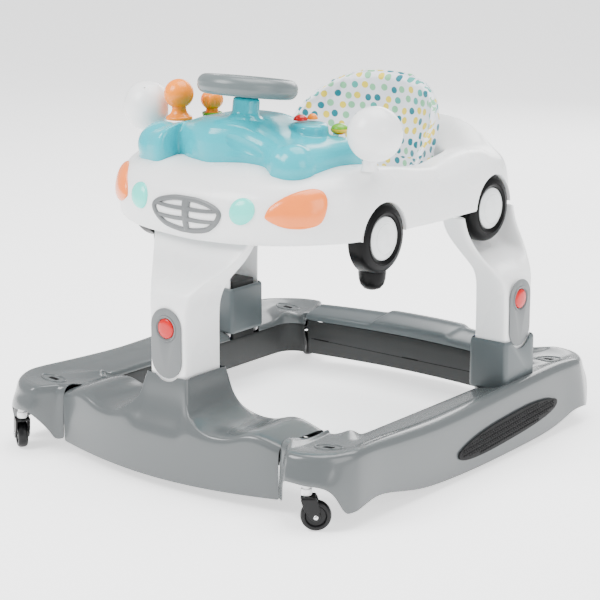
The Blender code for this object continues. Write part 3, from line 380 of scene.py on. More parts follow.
def subdivide(obj, levels=2):
    modifier = obj.modifiers.new("smooth", "SUBSURF")
    modifier.levels = levels
    modifier.render_levels = levels
    return obj


def shell(obj, thickness, even=True):
    modifier = obj.modifiers.new("wall", "SOLIDIFY")
    modifier.thickness = thickness
    modifier.offset = -1.0
    modifier.use_even_offset = even
    return obj


def bake(obj):
    """Replace an object's mesh by what its modifiers give."""
    bpy.context.view_layer.update()
    evaluated = obj.evaluated_get(bpy.context.evaluated_depsgraph_get())
    mesh = bpy.data.meshes.new_from_object(evaluated)
    obj.modifiers.clear()
    obj.data = mesh
    return obj


def outward(obj):
    with editing(obj.data) as bm:
        bmesh.ops.recalc_face_normals(bm, faces=bm.faces)
    return obj


def cut(obj, *cutters, operation="DIFFERENCE", solver="EXACT"):
    """Boolean with each cutter, applied, the cutters removed."""
    for other in cutters:
        modifier = obj.modifiers.new("cut", "BOOLEAN")
        modifier.operation = operation
        modifier.object = other
        modifier.solver = solver
    bake(obj)
    for other in cutters:
        bpy.data.objects.remove(other)
    return obj


def sharp(obj, angle=35):
    """Smooth shading with true edges kept."""
    bake(obj)
    obj.data.shade_smooth()
    obj.data.set_sharp_from_angle(angle=radians(angle))
    return obj


def cylinder(name, radius, low, high, axis, centre, material, steps=48):
    obj = turned(name, [(0.0, high), (radius, high), (radius, low), (0.0, low)], material, steps)
    turn = Matrix.Identity(4) if axis == "Z" else Matrix.Rotation(pi / 2, 4, {"X": "Y", "Y": "X"}[axis])
    obj.matrix_world = Matrix.Translation(centre) @ turn
    return obj


def piece(obj, body, slot, *nodes):
    """Finish an object: hide the CAD nodes it stands for and attach it to the body it rides; slot, its
    material slot, is not used.
    """
    if nodes:
        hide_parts(*nodes)
    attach(obj, body)
    return obj


def lathe(name, profile, material, place, body, slot, *nodes, steps=64, ring=False, angle=60):
    """Solid of revolution made, placed and finished."""
    obj = turned(name, profile, material, steps, ring)
    obj.matrix_world = place
    return piece(sharp(obj, angle), body, slot, *nodes)


def surface_of(obj):
    bpy.context.view_layer.update()
    return BVHTree.FromObject(obj, bpy.context.evaluated_depsgraph_get())


def drop(surface, x, y, start=1.0):
    return surface.ray_cast(Vector((x, y, start)), Vector((0, 0, -1)))[0].z


def on(surface, x, y, lift):
    return x, y, drop(surface, x, y) + lift


# ---------------------------------------------------------------- camera, light and floor
def look(obj, place, target):
    obj.location = place
    obj.rotation_mode = "QUATERNION"
    obj.rotation_quaternion = (Vector(target) - Vector(place)).to_track_quat("-Z", "Y")


def camera():
    azimuth, elevation, distance = radians(38.474), radians(14.248), 3.159
    target = Vector((-0.003, -0.012, 0.222))
    back = Vector((sin(azimuth) * cos(elevation), -cos(azimuth) * cos(elevation), sin(elevation)))
    data = bpy.data.cameras.new("camera")
    data.lens = 116.28
    data.sensor_width = 36.0
    data.clip_end = 100
    obj = bpy.data.objects.new("camera", data)
    bpy.context.scene.collection.objects.link(obj)
    look(obj, target + back * distance, target)
    bpy.context.scene.camera = obj


def light(name, place, target, size, power, spread=180):
    data = bpy.data.lights.new(name, "AREA")
    data.shape = "SQUARE"
    data.size = size
    data.energy = power
    data.spread = radians(spread)
    obj = bpy.data.objects.new(name, data)
    bpy.context.scene.collection.objects.link(obj)
    look(obj, place, target)


def studio():
    light("key", (-1.2, -2.2, 2.6), (0, 0, 0.3), 1.6, 135)
    light("fill", (3.0, -0.6, 1.4), (0, 0, 0.3), 1.8, 50)
    light("top", (0.2, 0.6, 3.0), (0, 0, 0.3), 2.2, 120)
    light("back", (-1.0, 3.0, 1.6), (0, 0, 0.3), 1.6, 45)
    world = bpy.data.worlds.new("studio")
    bpy.context.scene.world = world
    world.use_nodes = True
    world.node_tree.nodes["Background"].inputs["Color"].default_value = (0.98, 0.985, 1.0, 1)
    world.node_tree.nodes["Background"].inputs["Strength"].default_value = 0.80
    bpy.ops.mesh.primitive_plane_add(size=24, location=(0, 0, -0.0006))
    floor = bpy.context.object
    floor.name = "floor"
    mat = bpy.data.materials.new("floor")
    mat.use_nodes = True
    shader = mat.node_tree.nodes["Principled BSDF"]
    shader.inputs["Base Color"].default_value = (0.95, 0.95, 0.95, 1)
    shader.inputs["Roughness"].default_value = 0.9
    shader.inputs["Specular IOR Level"].default_value = 0.1
    shader.inputs["Emission Color"].default_value = (1, 1, 1, 1)
    shader.inputs["Emission Strength"].default_value = 1.25
    floor.data.materials.append(mat)


# ---------------------------------------------------------------- base mouldings
def rail_section(inner, outer, inner_z, outer_z, foot_z, lip_z, dish=0.0, inset=0.0):
    ix, iy = inner
    ox, oy = outer
    width = hypot(ox - ix, oy - iy)
    ux, uy = (ox - ix) / width, (oy - iy) / width
    r_in, r_out = 0.006, 0.016

    def at(d, z):
        return (ix + ux * d, iy + uy * d, z)

    points = [at(0, lip_z), at(0, inner_z - r_in), at(0.3 * r_in, inner_z - 0.25 * r_in), at(r_in, inner_z)]
    for t in (0.25, 0.42, 0.60):
        points.append(at(width * t, mix(inner_z, outer_z, t) - dish * (1 if t == 0.42 else 0.8)))
    crown = width - inset
    points += [at(crown - 1.2 * r_out, outer_z + 0.0004), at(crown - 0.45 * r_out, outer_z - 0.08 * r_out)]
    points += [at(crown - 0.08 * r_out, outer_z - 0.45 * r_out)]
    points += [at(mix(crown, width, 0.1), outer_z - 1.2 * r_out)]
    points += [at(mix(crown, width, 0.7), mix(outer_z - r_out, foot_z, 0.5)), at(width, foot_z + 0.004)]
    points.append(at(width, foot_z))
    return points


def side_outline():
    centre = (HALF_WIDTH - CORNER_RADIUS, -(HALF_LENGTH - CORNER_RADIUS))
    outer = [(SEAM_X + 0.0003, -SEAM_Y), (SEAM_X + 0.008, -SEAM_Y - 0.005), (SEAM_X + 0.013, -SEAM_Y - 0.010)]
    outer += [(SEAM_X + 0.018, -SEAM_Y - 0.015)]
    outer += arc(centre, CORNER_RADIUS, -96, -6, 14)
    outer += [(0.3435, -0.282), (0.3425, -0.255), (0.3435, -0.215)]
    outer += [(0.3445, -0.160), (HALF_WIDTH, -0.100), (HALF_WIDTH, -0.035)]
    inner = [(SEAM_X + d, -INNER_FRONT_Y) for d in (0.0003, 0.003, 0.006, 0.009)]
    inner += arc((INNER_X - 0.030, -INNER_FRONT_Y + 0.030), 0.030, -85, -5, 14)
    inner += [(INNER_X, y) for y in (-0.195, -0.185, -0.170, -0.130, -0.090, -0.035)]
    return inner, outer


def side_foot(outer):
    x, y = outer
    if abs(y) > 0.3385:
        return table([(SEAM_X, 0.026), (SEAM_X + 0.014, 0.027), (SEAM_X + 0.019, 0.045),
                      (SEAM_X + 0.026, 0.066), (0.262, 0.072), (0.300, 0.069), (0.318, 0.066),
                      (0.330, 0.052), (0.336, 0.028)], x)
    return table([(-0.335, 0.025), (-0.318, 0.026), (-0.290, 0.033), (-0.262, 0.036), (-0.215, 0.027),
                  (-0.170, 0.016), (-0.12, 0.011), (0.0, 0.008), (0.13, 0.010), (0.212, 0.013),
                  (0.256, 0.021), (0.287, 0.031), (0.310, 0.030), (0.335, 0.025)], y)


def side_crown(outer):
    return table([(-0.382, 0.112), (-0.30, 0.113), (-0.20, 0.109), (-0.10, 0.105), (0.05, 0.110),
                  (0.17, 0.115), (0.28, 0.115), (0.35, 0.109), (0.382, 0.107)], outer[1])


def pod_height(outer):
    return bump(abs(outer[1]), 0.345, 0.075) if outer[0] > SEAM_X + 0.01 else 0.0


def side_stations():
    inner, outer = side_outline()
    front = list(zip(inner, outer))
    shift = INNER_REAR_Y - INNER_FRONT_Y
    middle = [((INNER_X, 0.0), (HALF_WIDTH, 0.0))]
    rear = []
    for (ix, iy), (ox, oy) in front:
        keep = min(1.0, max(0.0, (-iy - 0.10) / 0.10))
        rear.append(((ix, -iy + shift * keep), (ox, -oy)))
    return front + middle + rear[::-1]


def socket_block(name, side, grow, low, high, material, width, segments=3):
    """Block round a side column's foot, larger all round than the hole by grow."""
    xs = sorted(side * x for x in (SIDE_COLUMN - SOCKET_DEPTH - grow, SIDE_COLUMN + SOCKET_GAP + grow))
    half = SOCKET_HALF + grow
    return block(name, (xs[0], SIDE_COLUMN_Y - half, low), (xs[1], SIDE_COLUMN_Y + half, high), material,
                 width, segments)


def side_shell(side, word):
    rings = []
    for inner, outer in side_stations():
        pod = pod_height(outer)
        section = rail_section(inner, outer, RIM_Z + 0.012 * pod, side_crown(outer), side_foot(outer),
                               RIM_Z - 0.010, dish=0.005 * pod, inset=0.004 + 0.006 * pod)
        rings.append([(side * x, y, z) for x, y, z in section])
    if side < 0:
        rings.reverse()
    obj = loft(word + "_side_cover", rings, GREY)
    subdivide(obj, 2)
    shell(obj, COVER_SKIN, even=False)
    cut(obj, socket_block("hole", side, 0.0, 0.05, 0.21, GREY, 0.004))
    piece(obj, "base", "base_grey", word + "_side_shell")
    sleeve(side, word)
    surface = surface_of(obj)
    for corner, (x_side, y_side) in CORNERS.items():
        if x_side == side:
            pod_dish(corner, side, y_side, surface)


def sleeve(side, word):
    """Tower that a side column's foot stands in, with a round notch under its button."""
    obj = socket_block(word + "_sleeve", side, SKIN, RIM_Z, SOCKET_TOP, SLEEVE, 0.008, 5)
    hollow = socket_block("hollow", side, 0.0, 0.05, 0.21, GREY, 0.005)
    face = side * (SIDE_COLUMN + SOCKET_GAP)
    notch = cylinder("notch", 0.0305, -0.02, 0.02, "X", (face, SIDE_COLUMN_Y, SOCKET_TOP + 0.012), GREY)
    cut(obj, hollow, notch)
    bevel(obj, 0.0008, 2, 40)
    piece(sharp(obj), "base", "base_grey")


def pod_dish(corner, side, end, surface):
    """Raised oval rim with a dark slot, on the pod above a caster."""
    x, y, wide, deep = side * 0.281, end * 0.302, 0.0245, 0.0170
    turn = [2 * pi * i / 72 for i in range(72)]
    rings = []
    for size, lift in ((1.0, -0.0010), (1.0, 0.0006), (0.96, 0.0013), (0.90, 0.0014), (0.86, 0.0006),
                       (0.85, -0.0010)):
        rings.append([on(surface, x + wide * size * cos(a), y + deep * size * sin(a), lift) for a in turn])
    rim = loft(corner + "_pod_rim", rings, GREY, close_rings=True)
    piece(sharp(outward(rim), 60), "base", "base_grey")
    edges = [(x + aside, lift) for aside, lift in ((-0.008, -0.0008), (-0.008, 0.0005), (0.008, 0.0005),
                                                   (0.008, -0.0008))]
    rows = [[on(surface, px, y + half, lift) for half in (-0.004, 0.004)] for px, lift in edges]
    piece(loft(corner + "_pod_slot", rows, SLOT), "base", "base_grey")


def front_shape(x):
    a = abs(x)
    hump = 0.013 * bump(a, 0.175, 0.055)
    flare = table([(0.0, 1.0), (0.038, 1.0), (0.0425, 0.82), (0.046, 0.56), (0.052, 0.36), (0.062, 0.19),
                   (0.078, 0.07), (0.10, 0.0)], a)
    crest = 0.104 + hump + (SOCKET_TOP - 0.104) * flare
    wide = table([(0.0, 1.0), (0.030, 0.99), (0.040, 0.93), (0.048, 0.72), (0.057, 0.44), (0.070, 0.20),
                  (0.088, 0.06), (0.11, 0.0)], a)
    return wide, flare, crest


def front_outer(x):
    return -(HALF_LENGTH - 0.012) + 0.027 * (x / SEAM_X) ** 2


def front_ring(x):
    """Section of the front cover at x, from its inner lip over its crest to its foot."""
    wide, flare, crest = front_shape(x)
    outer = front_outer(x)
    inner = -INNER_FRONT_Y
    face = mix(outer + 0.004, -(FRONT_COLUMN + 0.0055), wide)
    foot = 0.022 - 0.006 * cos(pi * x / (2 * SEAM_X))
    back = mix(inner, -(FRONT_COLUMN - 0.095), flare)
    low = min(crest, 0.117)
    ring = [(inner, RIM_Z - 0.010), (inner, RIM_Z - 0.004),
            (mix(inner, back, 0.6) - 0.002, mix(RIM_Z, crest, 0.25)), (back - 0.004, mix(RIM_Z, crest, 0.7)),
            (back - 0.006, crest - 0.003), (back - 0.012, crest),
            (mix(back, face, 0.5), crest), (face + 0.014, crest), (face + 0.003, crest - 0.003)]
    for t, under, tower in ((0.08, 0.006, 0.142), (0.26, 0.008, 0.119), (0.60, 0.010, 0.103),
                            (0.9, 0.019, 0.091)):
        ring.append((mix(face, outer, t), mix(low - under, tower, wide)))
    ring += [(outer, 0.070), (outer + 0.001, foot + 0.006), (outer + 0.0015, foot)]
    return [(x, y, z) for y, z in ring]


def front_shell():
    xs = [0.0, 0.015, 0.030, 0.037, 0.041, 0.0435, 0.047, 0.051, 0.056, 0.063, 0.072, 0.085, 0.10, 0.118,
          0.135, 0.150, 0.165, 0.180, 0.198, SEAM_X - 0.004, SEAM_X - 0.0006]
    xs = [-x for x in xs[:0:-1]] + xs
    obj = loft("front_cover", [front_ring(x) for x in xs], GREY)
    subdivide(obj, 2)
    shell(obj, COVER_SKIN)
    hole = block("hole", (-SOCKET_HALF, -(FRONT_COLUMN + SOCKET_GAP), 0.06),
                 (SOCKET_HALF, -(FRONT_COLUMN - 0.089), 0.25), GREY, 0.0045)
    notch_at = (0, -(FRONT_COLUMN + 0.006), SOCKET_TOP + 0.012)
    notch = cylinder("notch", 0.0310, -0.015, 0.015, "Y", notch_at, GREY)
    cut(obj, hole, notch, solver="FAST")
    piece(sharp(obj, 50), "base", "base_grey", "front_rail_shell")


def rear_outer(x):
    return (HALF_LENGTH - 0.008) - 0.031 * (x / SEAM_X) ** 2


def rear_inner(x):
    return INNER_REAR_Y + 0.018 * cos(pi * x / (2 * SEAM_X))


def rear_shell():
    xs = [0.0, 0.03, 0.060, 0.075, 0.079, 0.083, 0.088, 0.12, 0.16, 0.195, SEAM_X - 0.0024]
    xs = [-x for x in xs[:0:-1]] + xs
    rings = []
    for x in xs:
        raised = 0.006 * table([(0.076, 1.0), (0.086, 0.0)], abs(x))
        rings.append(rail_section((x, rear_inner(x)), (x, rear_outer(x)), RIM_Z + 0.012 + raised,
                                  0.114 + raised, 0.026, RIM_Z, inset=0.006))
    rings.reverse()
    obj = loft("rear_cover", rings, SLEEVE)
    subdivide(obj, 2)
    shell(obj, COVER_SKIN)
    piece(sharp(obj, 50), "base", "base_grey", "rear_rail_shell")


def liner(name, node, extra=()):
    """The dark liner keeps its moulded shape; its edges are rounded and any extra blocks given, such as a
    seam and slots, are added.
    """
    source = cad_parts[node]
    obj = put(source.data.copy(), name, DARK, smooth=False)
    obj.data.materials.clear()
    obj.data.materials.append(DARK)
    obj.matrix_world = source.matrix_world.copy()
    weld = obj.modifiers.new("weld", "WELD")
    weld.merge_threshold = 0.00005
    bevel(obj, 0.0009, 2, 40)
    sharp(obj, 45)
    piece(obj, "base", "liner_grey", node)
    for i, (low, high, material) in enumerate(extra):
        piece(block(f"{name}_detail_{i}", low, high, material, 0.0008, 2), "base", "liner_grey")


# ---------------------------------------------------------------- columns
def column_levels(front):
    if front:
        low = FRONT_COLUMN
        return [(COLUMN_FOOT, low, low - 0.078, -0.0365, 0.0365, 0.0),
                (0.100, low, low - 0.078, -0.0365, 0.0365, 0.0),
                (0.200, low, low - 0.078, -0.0365, 0.0365, 0.0),
                (0.262, low, low - 0.078, -0.0365, 0.0365, 0.0),
                (0.280, low - 0.001, low - 0.080, -0.0380, 0.0380, 0.0),
                (0.294, low - 0.006, low - 0.084, -0.041, 0.041, 0.0),
                (0.303, low - 0.013, low - 0.084, -0.047, 0.047, 0.0),
                (0.312, low - 0.022, low - 0.084, -0.054, 0.054, 0.0),
                (0.322, low - 0.034, low - 0.084, -0.063, 0.063, 0.0),
                (0.331, low - 0.046, low - 0.083, -0.073, 0.073, 0.0),
                (0.3525, low - 0.070, low - 0.088, -0.090, 0.090, 0.0),
                (0.385, low - 0.086, low - 0.098, -0.101, 0.101, 0.0)]
    low = SIDE_COLUMN
    y = SIDE_COLUMN_Y
    return [(COLUMN_FOOT, low, low - 0.056, y - 0.039, y + 0.039, 0.0),
            (0.100, low, low - 0.056, y - 0.039, y + 0.039, 0.0),
            (0.200, low, low - 0.056, y - 0.039, y + 0.039, 0.0),
            (0.262, low, low - 0.056, y - 0.039, y + 0.040, 0.0),
            (0.278, low - 0.010, low - 0.058, y - 0.039, y + 0.055, 0.002),
            (0.2917, low - 0.028, low - 0.063, y - 0.0395, y + 0.074, 0.012),
            (0.303, low - 0.041, low - 0.074, y - 0.042, y + 0.087, 0.045),
            (0.3150, low - 0.053, low - 0.085, y - 0.044, y + 0.097, 0.060),
            (0.3424, low - 0.072, low - 0.110, y - 0.049, y + 0.103, 0.042),
            (0.3690, low - 0.077, low - 0.118, y - 0.051, y + 0.103, 0.037)]


def column_ring(level):
    z, out, inn, low, high, scoop = level
    r = min(0.009, (out - inn) * 0.4)
    ring = [(inn, low), (mix(inn, out, 0.3), low), (mix(inn, out, 0.7), low), (out - 1.1 * r, low)]
    ring += [(out - 0.35 * r, low + 0.10 * r), (out - 0.05 * r, low + 0.5 * r), (out, low + 1.2 * r)]
    axle = AXLES["rear"]
    if scoop > 0.02:
        ring += [(out - scoop, axle + d) for d in (-0.0600, -0.030, 0.0, 0.030, 0.0605)]
    else:
        ring += [(out - scoop, mix(low + r, high - r, t)) for t in (0.18, 0.34, 0.5, 0.66, 0.82)]
    ring += [(out, high - 1.2 * r), (out - 0.05 * r, high - 0.5 * r), (out - 0.35 * r, high - 0.10 * r)]
    ring += [(out - 1.1 * r, high), (mix(inn, out, 0.7), high), (mix(inn, out, 0.3), high), (inn, high)]
    return [(u, v, z) for u, v in ring]


def column(name, front, side=1):
    rings = [column_ring(level) for level in column_levels(front)]
    if front:
        rings = [[(v, -u, z) for u, v, z in ring] for ring in rings]
    else:
        rings = [[(side * u, v, z) for u, v, z in ring] for ring in rings]
        if side < 0:
            rings.reverse()
    obj = loft(name + "_moulding", rings, WHITE)
    subdivide(obj, 2)
    shell(obj, PANEL)
    axis = "Y" if front else "X"
    centre = (0, -FRONT_COLUMN, BUTTON_Z) if front else (side * SIDE_COLUMN, SIDE_COLUMN_Y, BUTTON_Z)
    cut(obj, cylinder("hole", BUTTON_RADIUS + 0.0006, -0.015, 0.015, axis, centre, WHITE))
    piece(sharp(obj, 50), "upper", "column_white", name)


def facing(direction, spot):
    """Turn that stands a flat piece up and faces it out of a column."""
    turn = Matrix.Rotation({"front": 0, "right": pi / 2, "left": -pi / 2}[direction], 4, "Z")
    return Matrix.Translation(spot) @ turn @ Matrix.Rotation(pi / 2, 4, "X")


def flat_plate(name, outline, thickness, material, edge):
    mesh = bpy.data.meshes.new(name)
    with editing(mesh) as bm:
        face = bm.faces.new([bm.verts.new((x, y, -thickness / 2)) for x, y in outline])
        grown = bmesh.ops.extrude_face_region(bm, geom=[face])["geom"]
        top = [v for v in grown if isinstance(v, bmesh.types.BMVert)]
        bmesh.ops.translate(bm, vec=(0, 0, thickness), verts=top)
        bmesh.ops.recalc_face_normals(bm, faces=bm.faces)
    obj = put(mesh, name, material, smooth=False)
    return bevel(obj, edge, 3) if edge else obj


def column_spot(name, out, along, z):
    """Point on a column's outer face, a distance out from the middle of the base."""
    return {"front": (along, -out, z), "right": (out, along, z), "left": (-out, along, z)}[name]


def release(name, face, middle):
    """Grey plate with a raised ring, and the red button in it."""
    half, low, high = 0.0300, 0.1655, 0.2745
    on_face = facing(name, column_spot(name, face + 0.001 + GAP, middle, 0))
    outline = arc((0, high - half), half, 0, 180, 24) + arc((0, low + half), half, 180, 360, 24)
    plate = flat_plate(name + "_plate", outline, 0.0022, PLATE, 0.0)
    cut(plate, cylinder("hole", BUTTON_RADIUS + 0.0007, -0.01, 0.01, "Z", (0, BUTTON_Z, 0), PLATE))
    bevel(plate, 0.0007, 2, 50)
    sharp(plate, 40)
    plate.matrix_world = on_face @ plate.matrix_world
    piece(plate, "upper", "plate_grey", name + "_button_plate")
    section = [(0.0178, 0.0020), (0.0186, 0.0026), (0.0200, 0.0026), (0.0208, 0.0010), (0.0178, 0.0010)]
    lathe(name + "_plate_ring", section, PLATE, on_face @ Matrix.Translation((0, BUTTON_Z, 0)), "upper",
          "plate_grey", steps=48, ring=True, angle=40)
    profile = [(0.0, 0.0050), (0.0060, 0.00495), (0.0105, 0.0045), (0.0140, 0.0036), (0.0152, 0.0026),
               (BUTTON_RADIUS, 0.0014), (BUTTON_RADIUS, -0.0060), (0.0, -0.0060)]
    lathe(name + "_button", profile, RED, facing(name, column_spot(name, face, middle, BUTTON_Z)),
          name + "_release", "button_red", name + "_release_button", angle=50)


# ---------------------------------------------------------------- pads and casters
def pad_outline():
    """Drop-shaped outline, fuller below than above."""
    outline = []
    for i in range(96):
        along, up = cos(2 * pi * i / 96), sin(2 * pi * i / 96)
        half = 0.0205 * (1 - 0.30 * along * along) if up > 0 else 0.0195
        outline.append((0.143 * abs(along) ** 0.75 * (1 if along >= 0 else -1),
                        half * abs(up) ** 0.8 * (1 if up >= 0 else -1)))
    return outline


def grip_pad(side, word):
    """Black pad on a side rail: a framed drop outline filled with a raised herringbone."""
    plate = flat_plate(word + "_pad", pad_outline(), 0.0016, RUBBER, 0.0005)
    bake(plate)
    pitch_x, pitch_y, rib = 0.0066, 0.0042, Matrix.Diagonal((0.0052, 0.0021, 0.0012, 1))
    with editing(plate.data) as bm:
        for row in range(-6, 7):
            for column in range(-24, 25):
                x, y = column * pitch_x + (row % 2) * pitch_x / 2, row * pitch_y
                reach = (abs(x) / 0.137) ** 2.2 + (abs(y) / (0.0165 * (1 - 0.2 * (x / 0.14) ** 2))) ** 2.2
                if reach > 1:
                    continue
                lean = Matrix.Rotation(0.55 if row % 2 else -0.55, 4, "Z")
                place = Matrix.Translation((x, y, 0.0012)) @ lean @ rib
                made = bmesh.ops.create_cube(bm, size=1.0, matrix=place)
                middle = Vector((x, y, 0.0018))
                for v in [v for v in made["verts"] if v.co.z > 0.0013]:
                    v.co = middle + (v.co - middle) * 0.72
    spot = Matrix.Translation((side * (HALF_WIDTH + 0.0008 + GAP), 0.081, 0.0505))
    facing_out = Matrix.Rotation(side * pi / 2, 4, "Z") @ Matrix.Rotation(pi / 2, 4, "X")
    plate.data.transform(spot @ facing_out @ Matrix.Rotation(side * radians(4.0), 4, "Z"))
    piece(sharp(plate, 40), "base", "pad_black", word + "_grip_pad")


def mirrored(profile):
    """A profile and its reflection below z = 0."""
    return profile + [(r, -z) for r, z in reversed(profile)]


def joined(name, parts, material):
    """One object from several, which are removed."""
    mesh = bpy.data.meshes.new(name)
    with editing(mesh) as bm:
        for part in parts:
            bake(part)
            part.data.transform(part.matrix_world)
            bm.from_mesh(part.data)
            bpy.data.objects.remove(part)
    return put(mesh, name, material)


def yoke(corner, x, y, spin, half):
    """Fork: a stem, a crown and two arms that lean back to the axle."""
    stem = turned(corner + "_stem", [(0.0, 0.0824), (0.0036, 0.0820), (0.0036, 0.0532), (0.0068, 0.0528),
                                     (0.0082, 0.0510), (0.0086, 0.0480), (0.0, 0.0480)], BLACK, 40)
    stem.location = (x, y, 0)
    outline = [(-0.0075, 0.0300), (-0.0080, 0.0250), (-0.0040, 0.0120), (0.0065, -0.0045)]
    outline += arc((CASTER_TRAIL, 0.0), 0.0068, 220, 400, 10)
    outline += [(0.0195, 0.0120), (0.0160, 0.0250), (0.0130, 0.0300)]
    parts = [stem]
    for sign in (-1, 1):
        arm = flat_plate("arm", outline, 0.0030, BLACK, 0.0008)
        aside = Matrix.Translation((0, sign * (half + 0.0015), 0)) @ Matrix.Rotation(pi / 2, 4, "X")
        arm.matrix_world = Matrix.Translation((x, y, WHEEL_RADIUS)) @ spin @ aside
        parts.append(arm)
    crown = block("crown", (-0.0078, -half - 0.003, -0.0022), (0.0132, half + 0.003, 0.0020), BLACK, 0.0012)
    crown.matrix_world = Matrix.Translation((x, y, 0.0500)) @ spin
    return joined(corner + "_yoke", parts + [crown], BLACK)


def caster(corner):
    """Bush in the base, swivelling fork, wheel and axle pin."""
    x, y = [sign * place for sign, place in zip(CORNERS[corner], CASTER)]
    heading = radians(HEADINGS[corner])
    spin = Matrix.Rotation(heading, 4, "Z")
    hub = Vector((x + cos(heading) * CASTER_TRAIL, y + sin(heading) * CASTER_TRAIL, WHEEL_RADIUS))
    axle = Matrix.Translation(hub) @ spin @ Matrix.Rotation(pi / 2, 4, "X")
    bush = [(0.0041, 0.0838), (0.0060, 0.0838), (0.0062, 0.0832), (0.0062, 0.0634), (0.0079, 0.0628),
            (0.0082, 0.0600), (0.0080, 0.0542), (0.0076, 0.0535), (0.0041, 0.0535)]
    lathe(corner + "_stem_bush", bush, WHITE, Matrix.Translation((x, y, 0)), "base", "bush_white",
          corner + "_bush", steps=40, ring=True, angle=35)
    half = WHEEL_WIDTH / 2 + 0.0008
    piece(sharp(yoke(corner, x, y, spin, half), 40), corner + "_swivel", "caster_black", corner + "_fork")
    face = [(0.0024, 0.0066), (0.0058, 0.0066), (0.0062, 0.0050), (0.0142, 0.0048), (0.0150, 0.0066),
            (0.0162, 0.0078), (0.0188, 0.0080), (0.0208, 0.0070), (0.0220, 0.0048), (0.0225, 0.0020)]
    lathe(corner + "_tread", mirrored(face), BLACK, axle, corner + "_roller", "caster_black",
          corner + "_wheel", steps=72, ring=True, angle=40)
    reach = half + 0.003
    head = [(0.0, reach + 0.0022), (0.0018, reach + 0.0020), (0.0032, reach + 0.0012),
            (0.0036, reach + 0.0003), (0.0018, reach + 0.0002)]
    lathe(corner + "_pin", mirrored(head), STEEL, axle, corner + "_swivel", "pin_steel",
          corner + "_axle_pin", steps=32)


# ---------------------------------------------------------------- car body
def body_plan(angle, grow=0.0):
    c, s = cos(angle), sin(angle)
    length = (BODY_FRONT if s < 0 else BODY_REAR) + grow
    power = 2 / (3.0 if s < 0 else 6.5)
    x = (BODY_WIDTH + grow) * abs(c) ** power * (1 if c >= 0 else -1)
    y = length * abs(s) ** power * (1 if s >= 0 else -1)
    flare = 0.008 * bump(y, -0.170, 0.085) + 0.005 * bump(y, 0.190, 0.100) - 0.007 * bump(y, -0.036, 0.062)
    return x + (flare if x > 0 else -flare) * min(1.0, abs(x) / 0.18), y


def body_rim(y):
    return table([(-0.29, 0.452), (-0.20, 0.462), (-0.11, 0.468), (-0.02, 0.456), (0.055, 0.446),
                  (0.12, 0.455), (0.17, 0.458), (0.22, 0.452), (0.29, 0.455)], y)


def seat_hole_plan(angle, grow=0.0):
    half_x, half_y, middle = SEAT_HOLE
    c, s = cos(angle), sin(angle)
    return ((half_x + grow) * abs(c) ** 0.8 * (1 if c >= 0 else -1),
            middle + (half_y + grow) * abs(s) ** 0.8 * (1 if s >= 0 else -1))


def body_angles(count):
    """Angles round the body, spaced so that its rows of points are even along the outline."""
    fine = [2 * pi * i / 2000 for i in range(2001)]
    points = [Vector(body_plan(a)) for a in fine]
    lengths = [0.0]
    for a, b in zip(points, points[1:]):
        lengths.append(lengths[-1] + (b - a).length)
    out = []
    j = 0
    for i in range(count):
        want = lengths[-1] * i / count
        while lengths[j + 1] < want:
            j += 1
        out.append(mix(fine[j], fine[j + 1], (want - lengths[j]) / (lengths[j + 1] - lengths[j])))
    return out


def car_body():
    angles = body_angles(96)
    rings = []
    levels = [(-0.0030, -0.0160, 0.0), (0.0005, -0.0135, 0.01), (0.0020, -0.0110, 0.04),
              (0.0022, -0.0085, 0.08), (0.0020, -0.0045, 0.17), (0.0014, -0.0012, 0.33), (0.0, 0.0, 0.50),
              (-0.0020, -0.0020, 0.66), (-0.0050, -0.0050, 0.80), (-0.0088, -0.0088, 0.90),
              (-0.0135, -0.0135, 0.965), (-0.020, -0.020, 1.0)]
    for at_side, at_nose, rise in levels:
        ring = []
        for angle in angles:
            grow = mix(at_side, at_nose, max(0.0, -sin(angle)) ** 3)
            x, y = body_plan(angle, grow * mix(1.0, 0.55, max(0.0, sin(angle)) ** 2))
            foot = 0.3690 + 0.008 * min(1.0, abs(x) / 0.2)
            ring.append((x, y, mix(foot, body_rim(y) + 0.003 * (rise > 0.99), rise)))
        rings.append(ring)
    for t in (0.10, 0.22, 0.38, 0.55, 0.72, 0.86, 0.95, 1.0):
        ring = []
        for angle in angles:
            x, y = body_plan(angle, -0.020)
            hx, hy = seat_hole_plan(angle, 0.006)
            px, py = mix(x, hx, t), mix(y, hy, t)
            lift = table([(0.0, 0.004), (0.12, 0.0095), (0.45, 0.010), (0.9, 0.006), (1.0, 0.003)], t)
            behind = table([(0.0, 1.0), (0.10, 1.0), (0.15, 0.70), (0.20, 0.0)], abs(px))
            hump = 0.040 * bump(py, 0.262, 0.060) * behind
            hood = 0.011 * bump(py, -0.20, 0.12) * bump(px, 0.0, 0.22)
            ring.append((px, py, body_rim(py) + lift + hump + hood))
        rings.append(ring)
    rings.append([(*seat_hole_plan(angle, 0.002), body_rim(seat_hole_plan(angle)[1]) - 0.006)
                  for angle in angles])
    rings.append([(*seat_hole_plan(angle), 0.425) for angle in angles])
    obj = loft("car_shell", rings, WHITE, close_rings=True)
    subdivide(obj, 1)
    shell(obj, SKIN)
    arches = []
    for side in (-1, 1):
        for y in AXLES.values():
            arches.append(cylinder("arch", TYRE_RADIUS + 0.0012, -0.045, 0.045, "X",
                                   (side * (TYRE_FACE_X - TYRE_WIDTH - 0.004 + 0.045), y, AXLE_Z), WHITE, 96))
    cut(obj, *arches)
    sharp(obj, 55)
    piece(obj, "upper", "column_white", "car_body")
    return surface_of(obj)


LAMP_PLANE_Y = -0.247
SIGHT = Vector((-0.603, 0.759, -0.246))   # direction along which the lamps' outlines fall on the nose


